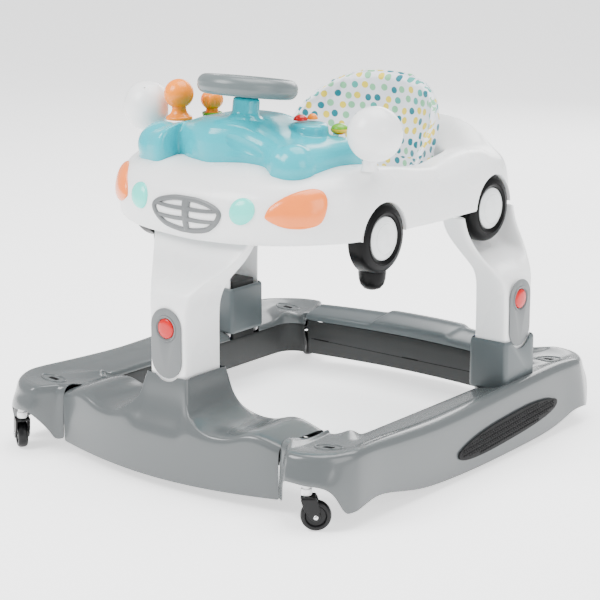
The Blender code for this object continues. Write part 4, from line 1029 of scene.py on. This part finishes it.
def lens(name, node, outline, side, rise, material, slot, deck):
    """Domed lens laid on the body inside an outline drawn on an upright plane."""
    middle = Vector((sum(p[0] for p in outline) / len(outline), sum(p[1] for p in outline) / len(outline)))
    steps = [0.0, 0.25, 0.45, 0.62, 0.76, 0.87, 0.94, 0.985, 1.0, 1.0]
    rings = []
    sight = Vector((side * SIGHT.x, SIGHT.y, SIGHT.z))
    for k, r in enumerate(steps):
        ring = []
        for x, z in outline:
            px, pz = mix(middle.x, x, max(r, 0.01)), mix(middle.y, z, max(r, 0.01))
            start = Vector((side * px, LAMP_PLANE_Y, pz)) - sight * 0.2
            hit, normal, _, _ = deck.ray_cast(start, sight)
            lift = rise * max(0.0, 1 - r ** 2.4) ** 0.55 + 0.0008
            if k == len(steps) - 1:
                lift = -0.001
            ring.append(hit + normal * lift)
        rings.append(ring)
    obj = loft(name, rings, material, close_rings=True, caps=True)
    piece(sharp(obj, 60), "upper", slot, node)


def smooth_outline(points, count):
    """Closed smooth curve through points."""
    n = len(points)
    out = []
    for i in range(count):
        s = n * i / count
        k, t = int(s) % n, s - int(s)
        p0, p1, p2, p3 = (Vector(points[(k + j) % n]) for j in (-1, 0, 1, 2))
        out.append(tuple(0.5 * ((2 * p1) + (p2 - p0) * t + (2 * p0 - 5 * p1 + 4 * p2 - p3) * t * t
                                + (3 * p1 - p0 - 3 * p2 + p3) * t ** 3)))
    return out


def lamps(deck):
    drop_shape = [(0.1176, 0.4136), (0.1262, 0.4276), (0.1417, 0.4397), (0.1610, 0.4512), (0.1838, 0.4615),
                  (0.2063, 0.4687), (0.2231, 0.4693), (0.2324, 0.4629), (0.2354, 0.4514), (0.2325, 0.4376),
                  (0.2269, 0.4249), (0.2176, 0.4161), (0.2027, 0.4096), (0.1857, 0.4049), (0.1647, 0.4021),
                  (0.1455, 0.4026), (0.1292, 0.4060), (0.1203, 0.4094)]
    oval = [(0.0988, 0.4180), (0.0973, 0.4280), (0.0898, 0.4345), (0.0784, 0.4358), (0.0660, 0.4315),
            (0.0560, 0.4228), (0.0511, 0.4119), (0.0526, 0.4018), (0.0601, 0.3952), (0.0717, 0.3940),
            (0.0841, 0.3984), (0.0940, 0.4072)]
    for side, word in SIDES:
        lens(word + "_headlamp", word + "_headlight", smooth_outline(drop_shape, 72), side, 0.0075, LAMP,
             "lamp_orange", deck)
        lens(word + "_fog_lens", word + "_fog_light", smooth_outline(oval, 48), side, 0.0060, AQUA,
             "lamp_aqua", deck)


def strip(name, path, deck, closed=False):
    """Rounded strip laid on the nose along a path of (x, z, half width)."""
    section = [(-1.0, -0.0012), (-1.0, 0.0020), (-0.72, 0.0031), (0.72, 0.0031), (1.0, 0.0020),
               (1.0, -0.0012)]
    rings = []
    for i, (x, z, half) in enumerate(path):
        before = path[i - 1] if closed or i else path[i]
        after = path[(i + 1) % len(path)] if closed or i + 1 < len(path) else path[i]
        along = Vector((after[0] - before[0], after[1] - before[1])).normalized()
        ring = []
        for offset, out in section:
            start = Vector((x - along.y * offset * half, -0.5, z + along.x * offset * half))
            hit, normal, _, _ = deck.ray_cast(start, Vector((0, 1, 0)))
            ring.append(hit + normal * out)
        rings.append(ring)
    if closed:
        rings.append(rings[0])
    obj = loft(name, rings, PLATE, close_rings=True, caps=not closed)
    if closed:
        with editing(obj.data) as bm:
            bmesh.ops.remove_doubles(bm, verts=bm.verts, dist=1e-6)
            bmesh.ops.recalc_face_normals(bm, faces=bm.faces)
    return sharp(outward(obj), 50)


def grille(deck):
    """Frame, divider and slats."""
    half = [(0.0, 0.4335), (0.020, 0.4331), (0.0385, 0.4303), (0.0550, 0.4254), (0.0640, 0.4185),
            (0.0620, 0.4095), (0.0532, 0.3998), (0.0390, 0.3914), (0.0150, 0.3868), (0.0, 0.3863)]
    outline = half + [(-x, z) for x, z in half[-2:0:-1]]
    edge = [(x, z, 0.0038) for x, z in smooth_outline(outline, 108)]
    piece(strip("grille_frame", edge, deck, closed=True), "upper", "plate_grey", "grille")
    divider = [(0.0, mix(0.4335, 0.3863, i / 14), mix(0.0078, 0.0046, i / 14)) for i in range(15)]
    piece(strip("grille_divider", divider, deck), "upper", "plate_grey")
    for side, word in SIDES:
        for k, (inner_z, outer_z, reach) in enumerate(((0.4190, 0.4215, 0.0635), (0.4035, 0.4050, 0.0580))):
            slat = [(side * mix(0.003, reach, t), mix(inner_z, outer_z, t) - 0.0012 * sin(pi * t),
                     mix(0.0032, 0.0024, t)) for t in [i / 14 for i in range(15)]]
            piece(strip(f"grille_slat_{word}_{k}", slat, deck), "upper", "plate_grey")


def wheel_housing(end, word, side):
    """White inner arch that closes the body behind a tyre."""
    near, far, radius = 0.2360, 0.1985, TYRE_RADIUS + 0.0004
    profile = [(0.0, far), (radius - 0.003, far), (radius, far + 0.003), (radius, near),
               (radius + 0.0007, near), (radius + 0.0007, far + 0.0026), (radius - 0.0022, far - 0.0014),
               (0.0, far - 0.0014)]
    cup = turned(f"{end}_{word}_housing", profile, WHITE, 96)
    cup.data.transform(Matrix.Translation((0, AXLES[end], AXLE_Z)) @ Matrix.Rotation(side * pi / 2, 4, "Y"))
    low = block("low", (-0.3, AXLES[end] - 0.1, 0.2), (0.3, AXLES[end] + 0.1, 0.3775), WHITE, 0.0)
    low.modifiers.clear()
    cut(outward(cup), low)
    piece(sharp(cup, 40), "upper", "column_white")


def tyre(end, word, side):
    """Tyre with a hub cap; a front one has a rounded nub below it."""
    w = TYRE_WIDTH / 2
    y = AXLES[end]
    profile = [(0.0, w - 0.0100), (0.0343, w - 0.0100), (0.0346, w - 0.0012), (0.0358, w),
               (0.0390, w + 0.0006), (0.0394, w - 0.0006), (0.0404, w - 0.0006), (0.0408, w + 0.0004),
               (0.0470, w - 0.0006), (0.0505, w - 0.0024), (0.0532, w - 0.0056), (0.0545, w - 0.0090),
               (TYRE_RADIUS, w - 0.0125), (TYRE_RADIUS, -w + 0.002), (TYRE_RADIUS - 0.002, -w), (0.0, -w)]
    obj = turned(f"{end}_{word}_wheel_tyre", profile, TYRE, 96)
    turn = Matrix.Rotation(side * pi / 2, 4, "Y")
    obj.data.transform(Matrix.Translation((side * (TYRE_FACE_X - w), y, AXLE_Z)) @ turn)
    if end == "front":
        foot = turned("foot", [(0.0, 0.024), (0.014, 0.024), (0.0205, 0.018), (0.0215, 0.006),
                               (0.0205, -0.004), (0.0180, -0.012), (0.0130, -0.0180), (0.006, -0.0205),
                               (0.0, -0.0210)], TYRE, 48)
        foot.matrix_world = Matrix.Translation((side * (TYRE_FACE_X - 0.026), y + 0.004, AXLE_Z - 0.062))
        cut(obj, foot, operation="UNION")
    piece(sharp(obj, 35), "upper", "tyre_black", f"{end}_{word}_tyre")
    cap = [(0.0, 0.0046), (0.0080, 0.0044), (0.0165, 0.0036), (0.0225, 0.0024), (0.0232, 0.0014),
           (0.0245, 0.0014), (0.0252, 0.0022), (0.0300, 0.0010), (0.0330, -0.0012), (0.0336, -0.0035),
           (0.0336, -0.0095), (0.0, -0.0095)]
    place = Matrix.Translation((side * (TYRE_FACE_X - 0.0002), y, AXLE_Z)) @ turn
    lathe(f"{end}_{word}_cap", cap, HUB, place, "upper", "hub_white", f"{end}_{word}_hub_cap", steps=96,
          angle=35)


# ---------------------------------------------------------------- toy tray and toys
def ball(bm, centre, radii, tilt=0.0):
    matrix = Matrix.Translation(centre) @ Matrix.Rotation(tilt, 4, "Z") @ Matrix.Diagonal((*radii, 1))
    bmesh.ops.create_uvsphere(bm, u_segments=48, v_segments=28, radius=1.0, matrix=matrix)


def tray_top(x):
    return table([(-0.20, 0.508), (-0.150, 0.516), (-0.115, 0.521), (-0.085, 0.533), (-0.05, 0.540),
                  (0.01, 0.541), (0.04, 0.535), (0.08, 0.522), (0.12, 0.515), (0.20, 0.511)], x)


def tray_inset(x, y, inset):
    """A point of the tray's outline moved towards the tray's spine."""
    low, high, depth = TRAY_SPINE
    inward = Vector((min(max(x, low), high) - x, depth - y)).normalized() * inset
    return x + inward.x, y + inward.y


def dash_pod():
    x, y, radius, top = POD
    profile = [(0.0, 0.0), (radius - 0.0090, 0.0), (radius - 0.0050, -0.0010), (radius - 0.0022, -0.0034),
               (radius - 0.0010, -0.0070), (radius + 0.0010, -0.0260), (0.0, -0.0260)]
    pod = turned("pod", profile, TURQUOISE, 64)
    oval = Matrix.Rotation(-0.5, 4, "Z") @ Matrix.Diagonal((1.08, 0.94, 1, 1))
    pod.matrix_world = Matrix.Translation((x, y, top)) @ oval
    return pod


def steering_post():
    post = turned("post", [(0.0, -0.0165), (0.0165, -0.0165), (0.0205, -0.0185), (0.0208, -0.0230),
                           (0.0210, -0.0400), (0.0230, -0.0440), (0.0275, -0.0475), (0.0300, -0.0600),
                           (0.0, -0.0600)], TURQUOISE)
    post.matrix_world = steering_matrix()
    return post


def toy_tray(deck):
    """Tray cover: slab, hood, a bulge at each front corner, pod and post, blended into one skin."""
    outline = smooth_outline(TRAY_OUTLINE, 180)
    rings = []
    for inset, rise in ((0.0, -0.3), (0.0, 0.25), (0.0008, 0.50), (0.003, 0.68), (0.008, 0.82), (0.015, 0.91),
                        (0.026, 0.97), (0.040, 1.0), (0.065, 1.0)):
        ring = []
        for x, y in outline:
            px, py = tray_inset(x, y, inset)
            ring.append((px, py, mix(drop(deck, x, y), tray_top(px), rise)))
        rings.append(ring)
    slab = loft("tray_cover", rings, TURQUOISE, close_rings=True, caps=True)
    with editing(slab.data) as bm:
        bmesh.ops.triangulate(bm, faces=[face for face in bm.faces if len(face.verts) > 4])
        ball(bm, (0.1315, -0.1960, 0.4830), (0.0345, 0.0330, 0.0350), 0.3)
        ball(bm, (-0.1440, -0.1800, 0.4870), (0.0400, 0.0460, 0.0355), 0.45)
        ball(bm, (-0.0180, -0.1520, 0.4880), (0.0900, 0.0700, 0.0545), 0.0)
        for part in (dash_pod(), steering_post()):
            part.data.transform(part.matrix_world)
            bm.from_mesh(part.data)
            bpy.data.objects.remove(part)
    remesh = slab.modifiers.new("blend", "REMESH")
    remesh.mode = "VOXEL"
    remesh.voxel_size = 0.0018
    remesh.use_smooth_shade = True
    soften = slab.modifiers.new("soften", "SMOOTH")
    soften.factor = 0.5
    soften.iterations = 6
    bake(slab)
    scoop = bpy.data.meshes.new("scoop")
    leaf = (Matrix.Translation((0.050, -0.2155, 0.5080)) @ Matrix.Rotation(0.10, 4, "Z")
            @ Matrix.Rotation(0.42, 4, "Y") @ Matrix.Diagonal((0.040, 0.0150, 0.0200, 1)))
    with editing(scoop) as bm:
        bmesh.ops.create_uvsphere(bm, u_segments=64, v_segments=36, radius=1.0, matrix=leaf)
    cut(slab, put(scoop, "scoop", TURQUOISE))
    relax = slab.modifiers.new("relax", "SMOOTH")
    relax.factor = 0.5
    relax.iterations = 2
    bake(slab)
    slab.data.shade_smooth()
    piece(slab, "upper", "tray_turquoise", "toy_tray")
    return surface_of(slab)


def steering_matrix():
    return Matrix.Translation(STEERING_CENTRE) @ Matrix.Rotation(radians(STEERING_TILT), 4, "X")


def spoke(i):
    turn = [2 * pi * k / 24 for k in range(24)]
    rings = []
    for r, half, top, low in ((0.020, 0.0155, -0.0026, -0.0135), (0.030, 0.0120, -0.0022, -0.0120),
                              (0.042, 0.0110, -0.0010, -0.0100), (0.052, 0.0125, 0.0010, -0.0085),
                              (0.060, 0.0160, 0.0020, -0.0080)):
        rings.append([(r, half * cos(a), mix(low, top, 0.5 + 0.5 * sin(a))) for a in turn])
    obj = loft(f"steering_spoke_{i}", rings, RIM, close_rings=True, caps=True)
    obj.matrix_world = steering_matrix() @ Matrix.Rotation(radians(90 + 120 * i), 4, "Z")
    piece(sharp(obj, 60), "steering", "plate_grey")


def steering():
    place = steering_matrix()
    loop = []
    for a in [2 * pi * i / 40 for i in range(40)]:
        pinch = 0.0008 * bump(abs(sin(a)), 0.0, 0.16) if cos(a) < 0 else 0.0
        loop.append((STEERING_RADIUS - 0.0153 - (0.0130 - pinch) * cos(a), 0.0148 * sin(a)))
    lathe("steering_rim", loop, RIM, place, "steering", "plate_grey", "steering_wheel", steps=128, ring=True)
    hub = [(0.0, -0.0020), (0.0275, -0.0020), (0.0300, -0.0040), (0.0305, -0.0100), (0.0270, -0.0150),
           (0.0, -0.0155)]
    lathe("steering_hub", hub, RIM, place, "steering", "plate_grey", angle=40)
    for i in range(3):
        spoke(i)
    boss = [(0.0, 0.0098), (0.008, 0.0096), (0.015, 0.0086), (0.021, 0.0066), (0.0248, 0.0038),
            (0.026, 0.0010), (0.026, -0.0016), (0.0, -0.0016)]
    lathe("steering_boss", boss, TURQUOISE, place, "steering", "tray_turquoise", "steering_cap")


def highest(surface, x, y, radius):
    spots = [(x, y)] + [(x + radius * cos(a), y + radius * sin(a)) for a in [pi * i / 8 for i in range(16)]]
    return max(drop(surface, px, py) for px, py in spots) + GAP


def knob(tray):
    """Ball on a waisted foot."""
    head, height = 0.0238, 0.0645
    profile = [(head * sin(a), height - head + head * cos(a)) for a in [pi * i / 30 for i in range(25)]]
    profile += [(0.0118, 0.0205), (0.0112, 0.0170), (0.0120, 0.0135), (0.0142, 0.0095), (0.0180, 0.0060),
                (0.0205, 0.0042), (0.0212, 0.0025), (0.0210, 0.0), (0.0, 0.0)]
    place = Matrix.Translation((*KNOB, highest(tray, *KNOB, 0.0205)))
    lathe("knob_head", profile, ORANGE, place, "knob", "toy_orange", "knob_figure", steps=72, angle=50)


def roller(tray):
    """Fluted barrel on a round foot."""
    stand = 0.0135
    turn = [2 * pi * k / 96 for k in range(96)]
    rings = []
    for z, radius, wave in (
            (0.0, 0.0125, 0.0), (0.002, 0.0130, 0.0), (0.006, 0.0128, 0.0), (0.008, 0.0105, 0.0),
            (stand, 0.0095, 0.0), (stand + 0.0015, 0.0120, 0.05), (stand + 0.005, 0.0150, 0.14),
            (stand + 0.010, 0.0170, 0.18), (stand + 0.0145, 0.0174, 0.18), (stand + 0.019, 0.0166, 0.15),
            (stand + 0.0235, 0.0145, 0.10), (stand + 0.026, 0.0110, 0.06), (stand + 0.0265, 0.0060, 0.03)):
        sizes = [radius * (1 + wave * (abs(cos(3.5 * a)) - 0.6)) for a in turn]
        rings.append([(size * cos(a), size * sin(a), z) for size, a in zip(sizes, turn)])
    barrel = loft("roller_barrel", rings, ORANGE, close_rings=True, caps=True)
    barrel.location = (*ROLLER, highest(tray, *ROLLER, 0.0125))
    piece(sharp(barrel, 50), "roller", "toy_orange", "roller_toy")
    collar = [(0.0140, 0.0005), (0.0156, 0.0020), (0.0164, 0.0060), (0.0160, 0.0075), (0.0140, 0.0080),
              (0.0136, 0.0070), (0.0136, 0.0005)]
    lathe("roller_stand", collar, GREEN, Matrix.Translation(barrel.location), "roller", "toy_green",
          ring=True, angle=50)


def dash_buttons(tray):
    for name, spot, radius, material, slot in (("red", RED_BUTTON, 0.0112, RED, "button_red"),
                                               ("orange", ORANGE_BUTTON, 0.0085, ORANGE, "toy_orange")):
        profile = [(0.0, 0.0085), (radius * 0.35, 0.0081), (radius * 0.62, 0.0068), (radius * 0.84, 0.0046),
                   (radius * 0.97, 0.0020), (radius, 0.0), (0.0, 0.0)]
        place = Matrix.Translation((*spot, highest(tray, *spot, radius) + 0.0031))
        lathe(name + "_dome", profile, material, place, name + "_press", slot, name + "_button", steps=48)


def bead(tray):
    """Flattened bead in three colours."""
    radius, half = 0.0135, 0.0088
    place = Matrix.Translation((*BEAD, highest(tray, *BEAD, 0.009)))
    for name, material, slot, nodes, low, high, wide in (
            ("bead_green", GREEN, "toy_green", ["bead_toy"], 90, 5, 1.0),
            ("bead_yellow", YELLOW, "toy_orange", [], 5, -30, 1.04),
            ("bead_orange", ORANGE, "toy_orange", [], -30, -78, 1.0)):
        turn = [radians(low + (high - low) * i / 12) for i in range(13)]
        band = [(radius * wide * cos(a), half + half * sin(a)) for a in turn]
        band = [(0.0, band[0][1])] + band[(1 if low == 90 else 0):] + [(0.0, band[-1][1])]
        lathe(name, band, material, place, "bead", slot, *nodes, steps=48)


# screw dimples, from the middle of each housing
DIMPLES = {1: Vector((0.0393, -0.0133, -0.0020)), -1: Vector((0.0138, -0.0212, 0.0329))}


def mirror(side, word, deck):
    """White dome housing on a stalk; its face towards the child is a mirror disc."""
    x, y, z = side * MIRROR_AT[0], MIRROR_AT[1], MIRROR_AT[2]
    radius, depth, face = 0.0415, 0.0385, 0.0300
    rim = radius * (1 - (face / depth) ** 2) ** 0.5
    start = atan2(rim / radius, face / depth)
    profile = [(radius * sin(a), -depth * cos(a)) for a in [start + (pi - start) * i / 44 for i in range(45)]]
    profile[-1] = (0.0, depth)
    profile = profile[::-1] + [(rim - 0.0010, -face - 0.0006), (rim - 0.0026, -face - 0.0004),
                               (rim - 0.0034, -face + 0.0022), (0.0, -face + 0.0022)]
    dome = turned(word + "_mirror_dome", profile, WHITE, 96)
    away = Vector((side * 0.64, -0.76, 0.0)).normalized()
    turn = away.to_track_quat("Z", "Y").to_matrix().to_4x4()
    dome.data.transform(Matrix.Translation((x, y, z)) @ turn)
    stalk_x = side * MIRROR_STALK_X
    foot = highest(deck, stalk_x, y, 0.0155)
    stalk = turned("stalk", [(0.0, z - 0.020), (0.0100, z - 0.020), (0.0104, z - 0.0400),
                             (0.0112, foot + 0.008), (0.0128, foot + 0.003), (0.0136, foot + 0.0004),
                             (0.0, foot + 0.0004)], WHITE, 48)
    stalk.location = (stalk_x, y, 0)
    cut(dome, stalk, operation="UNION")
    dimple = turned("dimple", [(0.0, 0.004), (0.0017, 0.004), (0.0017, -0.0026), (0.0, -0.0026)], WHITE, 24)
    aim = DIMPLES[side].normalized().to_track_quat("Z", "Y").to_matrix().to_4x4()
    dimple.matrix_world = Matrix.Translation(Vector((x, y, z)) + DIMPLES[side]) @ aim
    cut(dome, dimple)
    piece(sharp(dome, 40), word + "_mirror_head", "column_white", word + "_mirror")
    disc = [(0.0, 0.0), (rim - 0.0040, 0.0), (rim - 0.0038, -0.0006), (rim - 0.0038, -0.0012), (0.0, -0.0012)]
    middle = Vector((x, y, z)) - away * (face - 0.0012)
    place = Matrix.Translation(middle) @ turn @ Matrix.Rotation(pi, 4, "X")
    lathe(word + "_mirror_disc", disc, MIRROR, place, word + "_mirror_head", "column_white", angle=40)


# ---------------------------------------------------------------- seat
def seat_ring(angle):
    """Point of the seat's top edge: low in front, high at the back."""
    c, s = cos(angle), sin(angle)
    rear = max(s, 0.0)
    x = (0.146 - 0.012 * rear) * abs(c) ** 0.8 * (1 if c >= 0 else -1)
    y = 0.105 + 0.110 * abs(s) ** 0.8 * (1 if s >= 0 else -1)
    return Vector((x, y, 0.450 + 0.130 * rear ** 0.7))


def seat_lengths():
    """Angle round the seat against arc length along its wall, for a pattern that keeps its size."""
    angles = [-pi / 2 + 2 * pi * i / 360 for i in range(361)]
    stops = [(angles[0], 0.0)]
    for a, b in zip(angles, angles[1:]):
        step = (seat_ring(b) - seat_ring(a)).to_2d().length
        stops.append((b, stops[-1][1] + step))
    return stops


def seat_angle(x, y):
    """Angle whose wall point lies in the direction of (x, y) from the seat's middle."""
    u, v = x / 0.140, (y - 0.105) / 0.110
    c, s = (abs(u) ** 1.25) * (1 if u >= 0 else -1), (abs(v) ** 1.25) * (1 if v >= 0 else -1)
    angle = atan2(s, c)
    return angle if angle >= -pi / 2 else angle + 2 * pi


def inflate(obj, cap):
    """Swell a closed mesh by cloth pressure, no point moving more than cap."""
    cloth = obj.modifiers.new("swell", "CLOTH")
    cloth.settings.quality = 5
    cloth.settings.mass = 0.3
    cloth.settings.tension_stiffness = 12
    cloth.settings.compression_stiffness = 12
    cloth.settings.bending_stiffness = 0.4
    cloth.settings.use_pressure = True
    cloth.settings.uniform_pressure_force = 4.0
    cloth.settings.effector_weights.gravity = 0.0
    start = [v.co.copy() for v in obj.data.vertices]
    scene = bpy.context.scene
    for frame_number in range(1, 21):
        scene.frame_set(frame_number)
    bake(obj)
    for vertex, old in zip(obj.data.vertices, start):
        move = vertex.co - old
        if move.length > cap:
            vertex.co = old + move * (cap / move.length)
    scene.frame_set(1)


def seat_rows():
    """Rows of points down the seat's wall and round its bowl."""
    angles = [2 * pi * i / 120 for i in range(120)]
    tops = [seat_ring(angle) for angle in angles]
    swell = [(0.466, 0.0), (0.478, 0.035), (0.500, 0.085), (0.530, 0.095), (0.590, 0.060)]
    rows = []
    for t in (0.0, 0.12, 0.3, 0.5, 0.7, 0.86, 1.0):
        row = []
        for angle, top in zip(angles, tops):
            z = mix(top.z, 0.442, t)
            spread = 1.0 + table(swell, z) * max(0.0, sin(angle)) ** 0.5
            row.append((top.x * spread, SEAT_MIDDLE_Y + (top.y - SEAT_MIDDLE_Y) * spread, z))
        rows.append(row)
    for low, scale in ((0.010, 0.985), (0.038, 0.96), (0.062, 0.84), (0.078, 0.66), (0.086, 0.46),
                       (0.090, 0.24)):
        rows.append([(p.x * scale, SEAT_MIDDLE_Y + (p.y - SEAT_MIDDLE_Y) * scale, SEAT_WALL_FOOT - low)
                     for p in tops])
    return rows


def seat():
    """Padded seat: a wall with a high back, a bowl under it and two leg openings."""
    obj = loft("seat_pad", seat_rows(), FABRIC, close_rings=True)
    with editing(obj.data) as bm:
        bmesh.ops.holes_fill(bm, edges=[e for e in bm.edges if e.is_boundary and e.verts[0].co.z < 0.38])
        bmesh.ops.recalc_face_normals(bm, faces=bm.faces)
    wall = obj.modifiers.new("wall", "SOLIDIFY")
    wall.thickness = 0.0085
    wall.offset = 0.0
    outward(bake(obj))
    cut(obj, *[cylinder("leg", 0.046, -0.08, 0.08, "Y", (x, 0.020, 0.372), FABRIC) for x in (-0.070, 0.070)])
    remesh = obj.modifiers.new("remesh", "REMESH")
    remesh.mode = "VOXEL"
    remesh.voxel_size = 0.0048
    soften = obj.modifiers.new("soften", "SMOOTH")
    soften.factor = 0.5
    soften.iterations = 6
    bake(obj)
    inflate(obj, 0.0050)
    bake(subdivide(obj, 1))
    quilt(obj)
    obj.data.shade_smooth()
    piece(obj, "upper", "seat_fabric", "seat_sling")


def quilt(obj):
    """Sew the rolled edge and the corner seams, gather the hem, and lay the printed cloth on it."""
    stops = seat_lengths()
    mesh = obj.data
    normals = [v.normal.copy() for v in mesh.vertices]
    places = []
    for vertex, normal in zip(mesh.vertices, normals):
        x, y, z = vertex.co
        angle = seat_angle(x, y)
        top = seat_ring(angle)
        around = table(stops, angle)
        edge = top.z + 0.006
        inside = normal.dot(Vector((x, y - 0.105, 0))) < 0
        seam = bump(edge - z, 0.0155, 0.0035) * (1 if inside else 0.55) * (1 if top.z > 0.47 else 0)
        corner = max(bump(around, length, 0.0035) for length in (0.305, 0.525)) * bump(z, 0.53, 0.09)
        gather = sin(around * 2 * pi / 0.017 + 3 * sin(around * 40)) * bump(z, 0.462, 0.034)
        crease = sin(around * 2 * pi / 0.043 + 2 * sin(z * 60)) * bump(z, 0.50, 0.10)
        vertex.co -= normal * (0.0016 * seam + 0.0012 * corner)
        vertex.co += normal * (0.0011 * gather + 0.0009 * crease)
        rim = edge - z < 0.0155
        drop_in = max(0.0, 0.436 - z) + 0.11 * (1 - min(1.0, hypot(x / 0.14, (y - 0.105) / 0.11)))
        height = (0.43 - drop_in if z < 0.436 else z) + (0.007 if rim else 0.0)
        places.append((around + (0.0087 if rim else 0.0) + (0.06 if not inside else 0.0), height))
    layer = mesh.uv_layers.new(name="cloth")
    for loop in mesh.loops:
        layer.data[loop.index].uv = places[loop.vertex_index]
    for polygon in mesh.polygons:
        spots = [layer.data[i].uv.x for i in polygon.loop_indices]
        if max(spots) - min(spots) > 0.2:
            high = max(spots)
            for i in polygon.loop_indices:
                if high - layer.data[i].uv.x > 0.2:
                    layer.data[i].uv.x += stops[-1][1]


# ---------------------------------------------------------------- assembly
def rear_details():
    """A seam along the rear liner and two slots in it."""
    y = INNER_REAR_Y
    return [((-0.205, y - 0.0012, 0.0600), (0.205, y, 0.0612), SLOT),
            ((-0.199, y - 0.0014, 0.0596), (-0.165, y, 0.0622), SLOT),
            ((-0.002, y - 0.0014, 0.0596), (0.032, y, 0.0622), SLOT)]


camera()
studio()
for side, word in SIDES:
    side_shell(side, word)
    grip_pad(side, word)
front_shell()
rear_shell()
liner("front_base_liner", "front_liner")
liner("rear_base_liner", "rear_liner", rear_details())
for side, word in SIDES:
    liner(word + "_base_liner", word + "_liner")
column("front_column", True)
for side, word in SIDES:
    column(word + "_column", False, side)
release("front", FRONT_COLUMN, 0.0)
for side, word in SIDES:
    release(word, SIDE_COLUMN, SIDE_COLUMN_Y)
for corner in CORNERS:
    caster(corner)
deck_surface = car_body()
lamps(deck_surface)
grille(deck_surface)
for end in AXLES:
    for side, word in SIDES:
        tyre(end, word, side)
        wheel_housing(end, word, side)
tray_surface = toy_tray(deck_surface)
steering()
knob(tray_surface)
roller(tray_surface)
dash_buttons(tray_surface)
bead(tray_surface)
for side, word in SIDES:
    mirror(side, word, deck_surface)
seat()
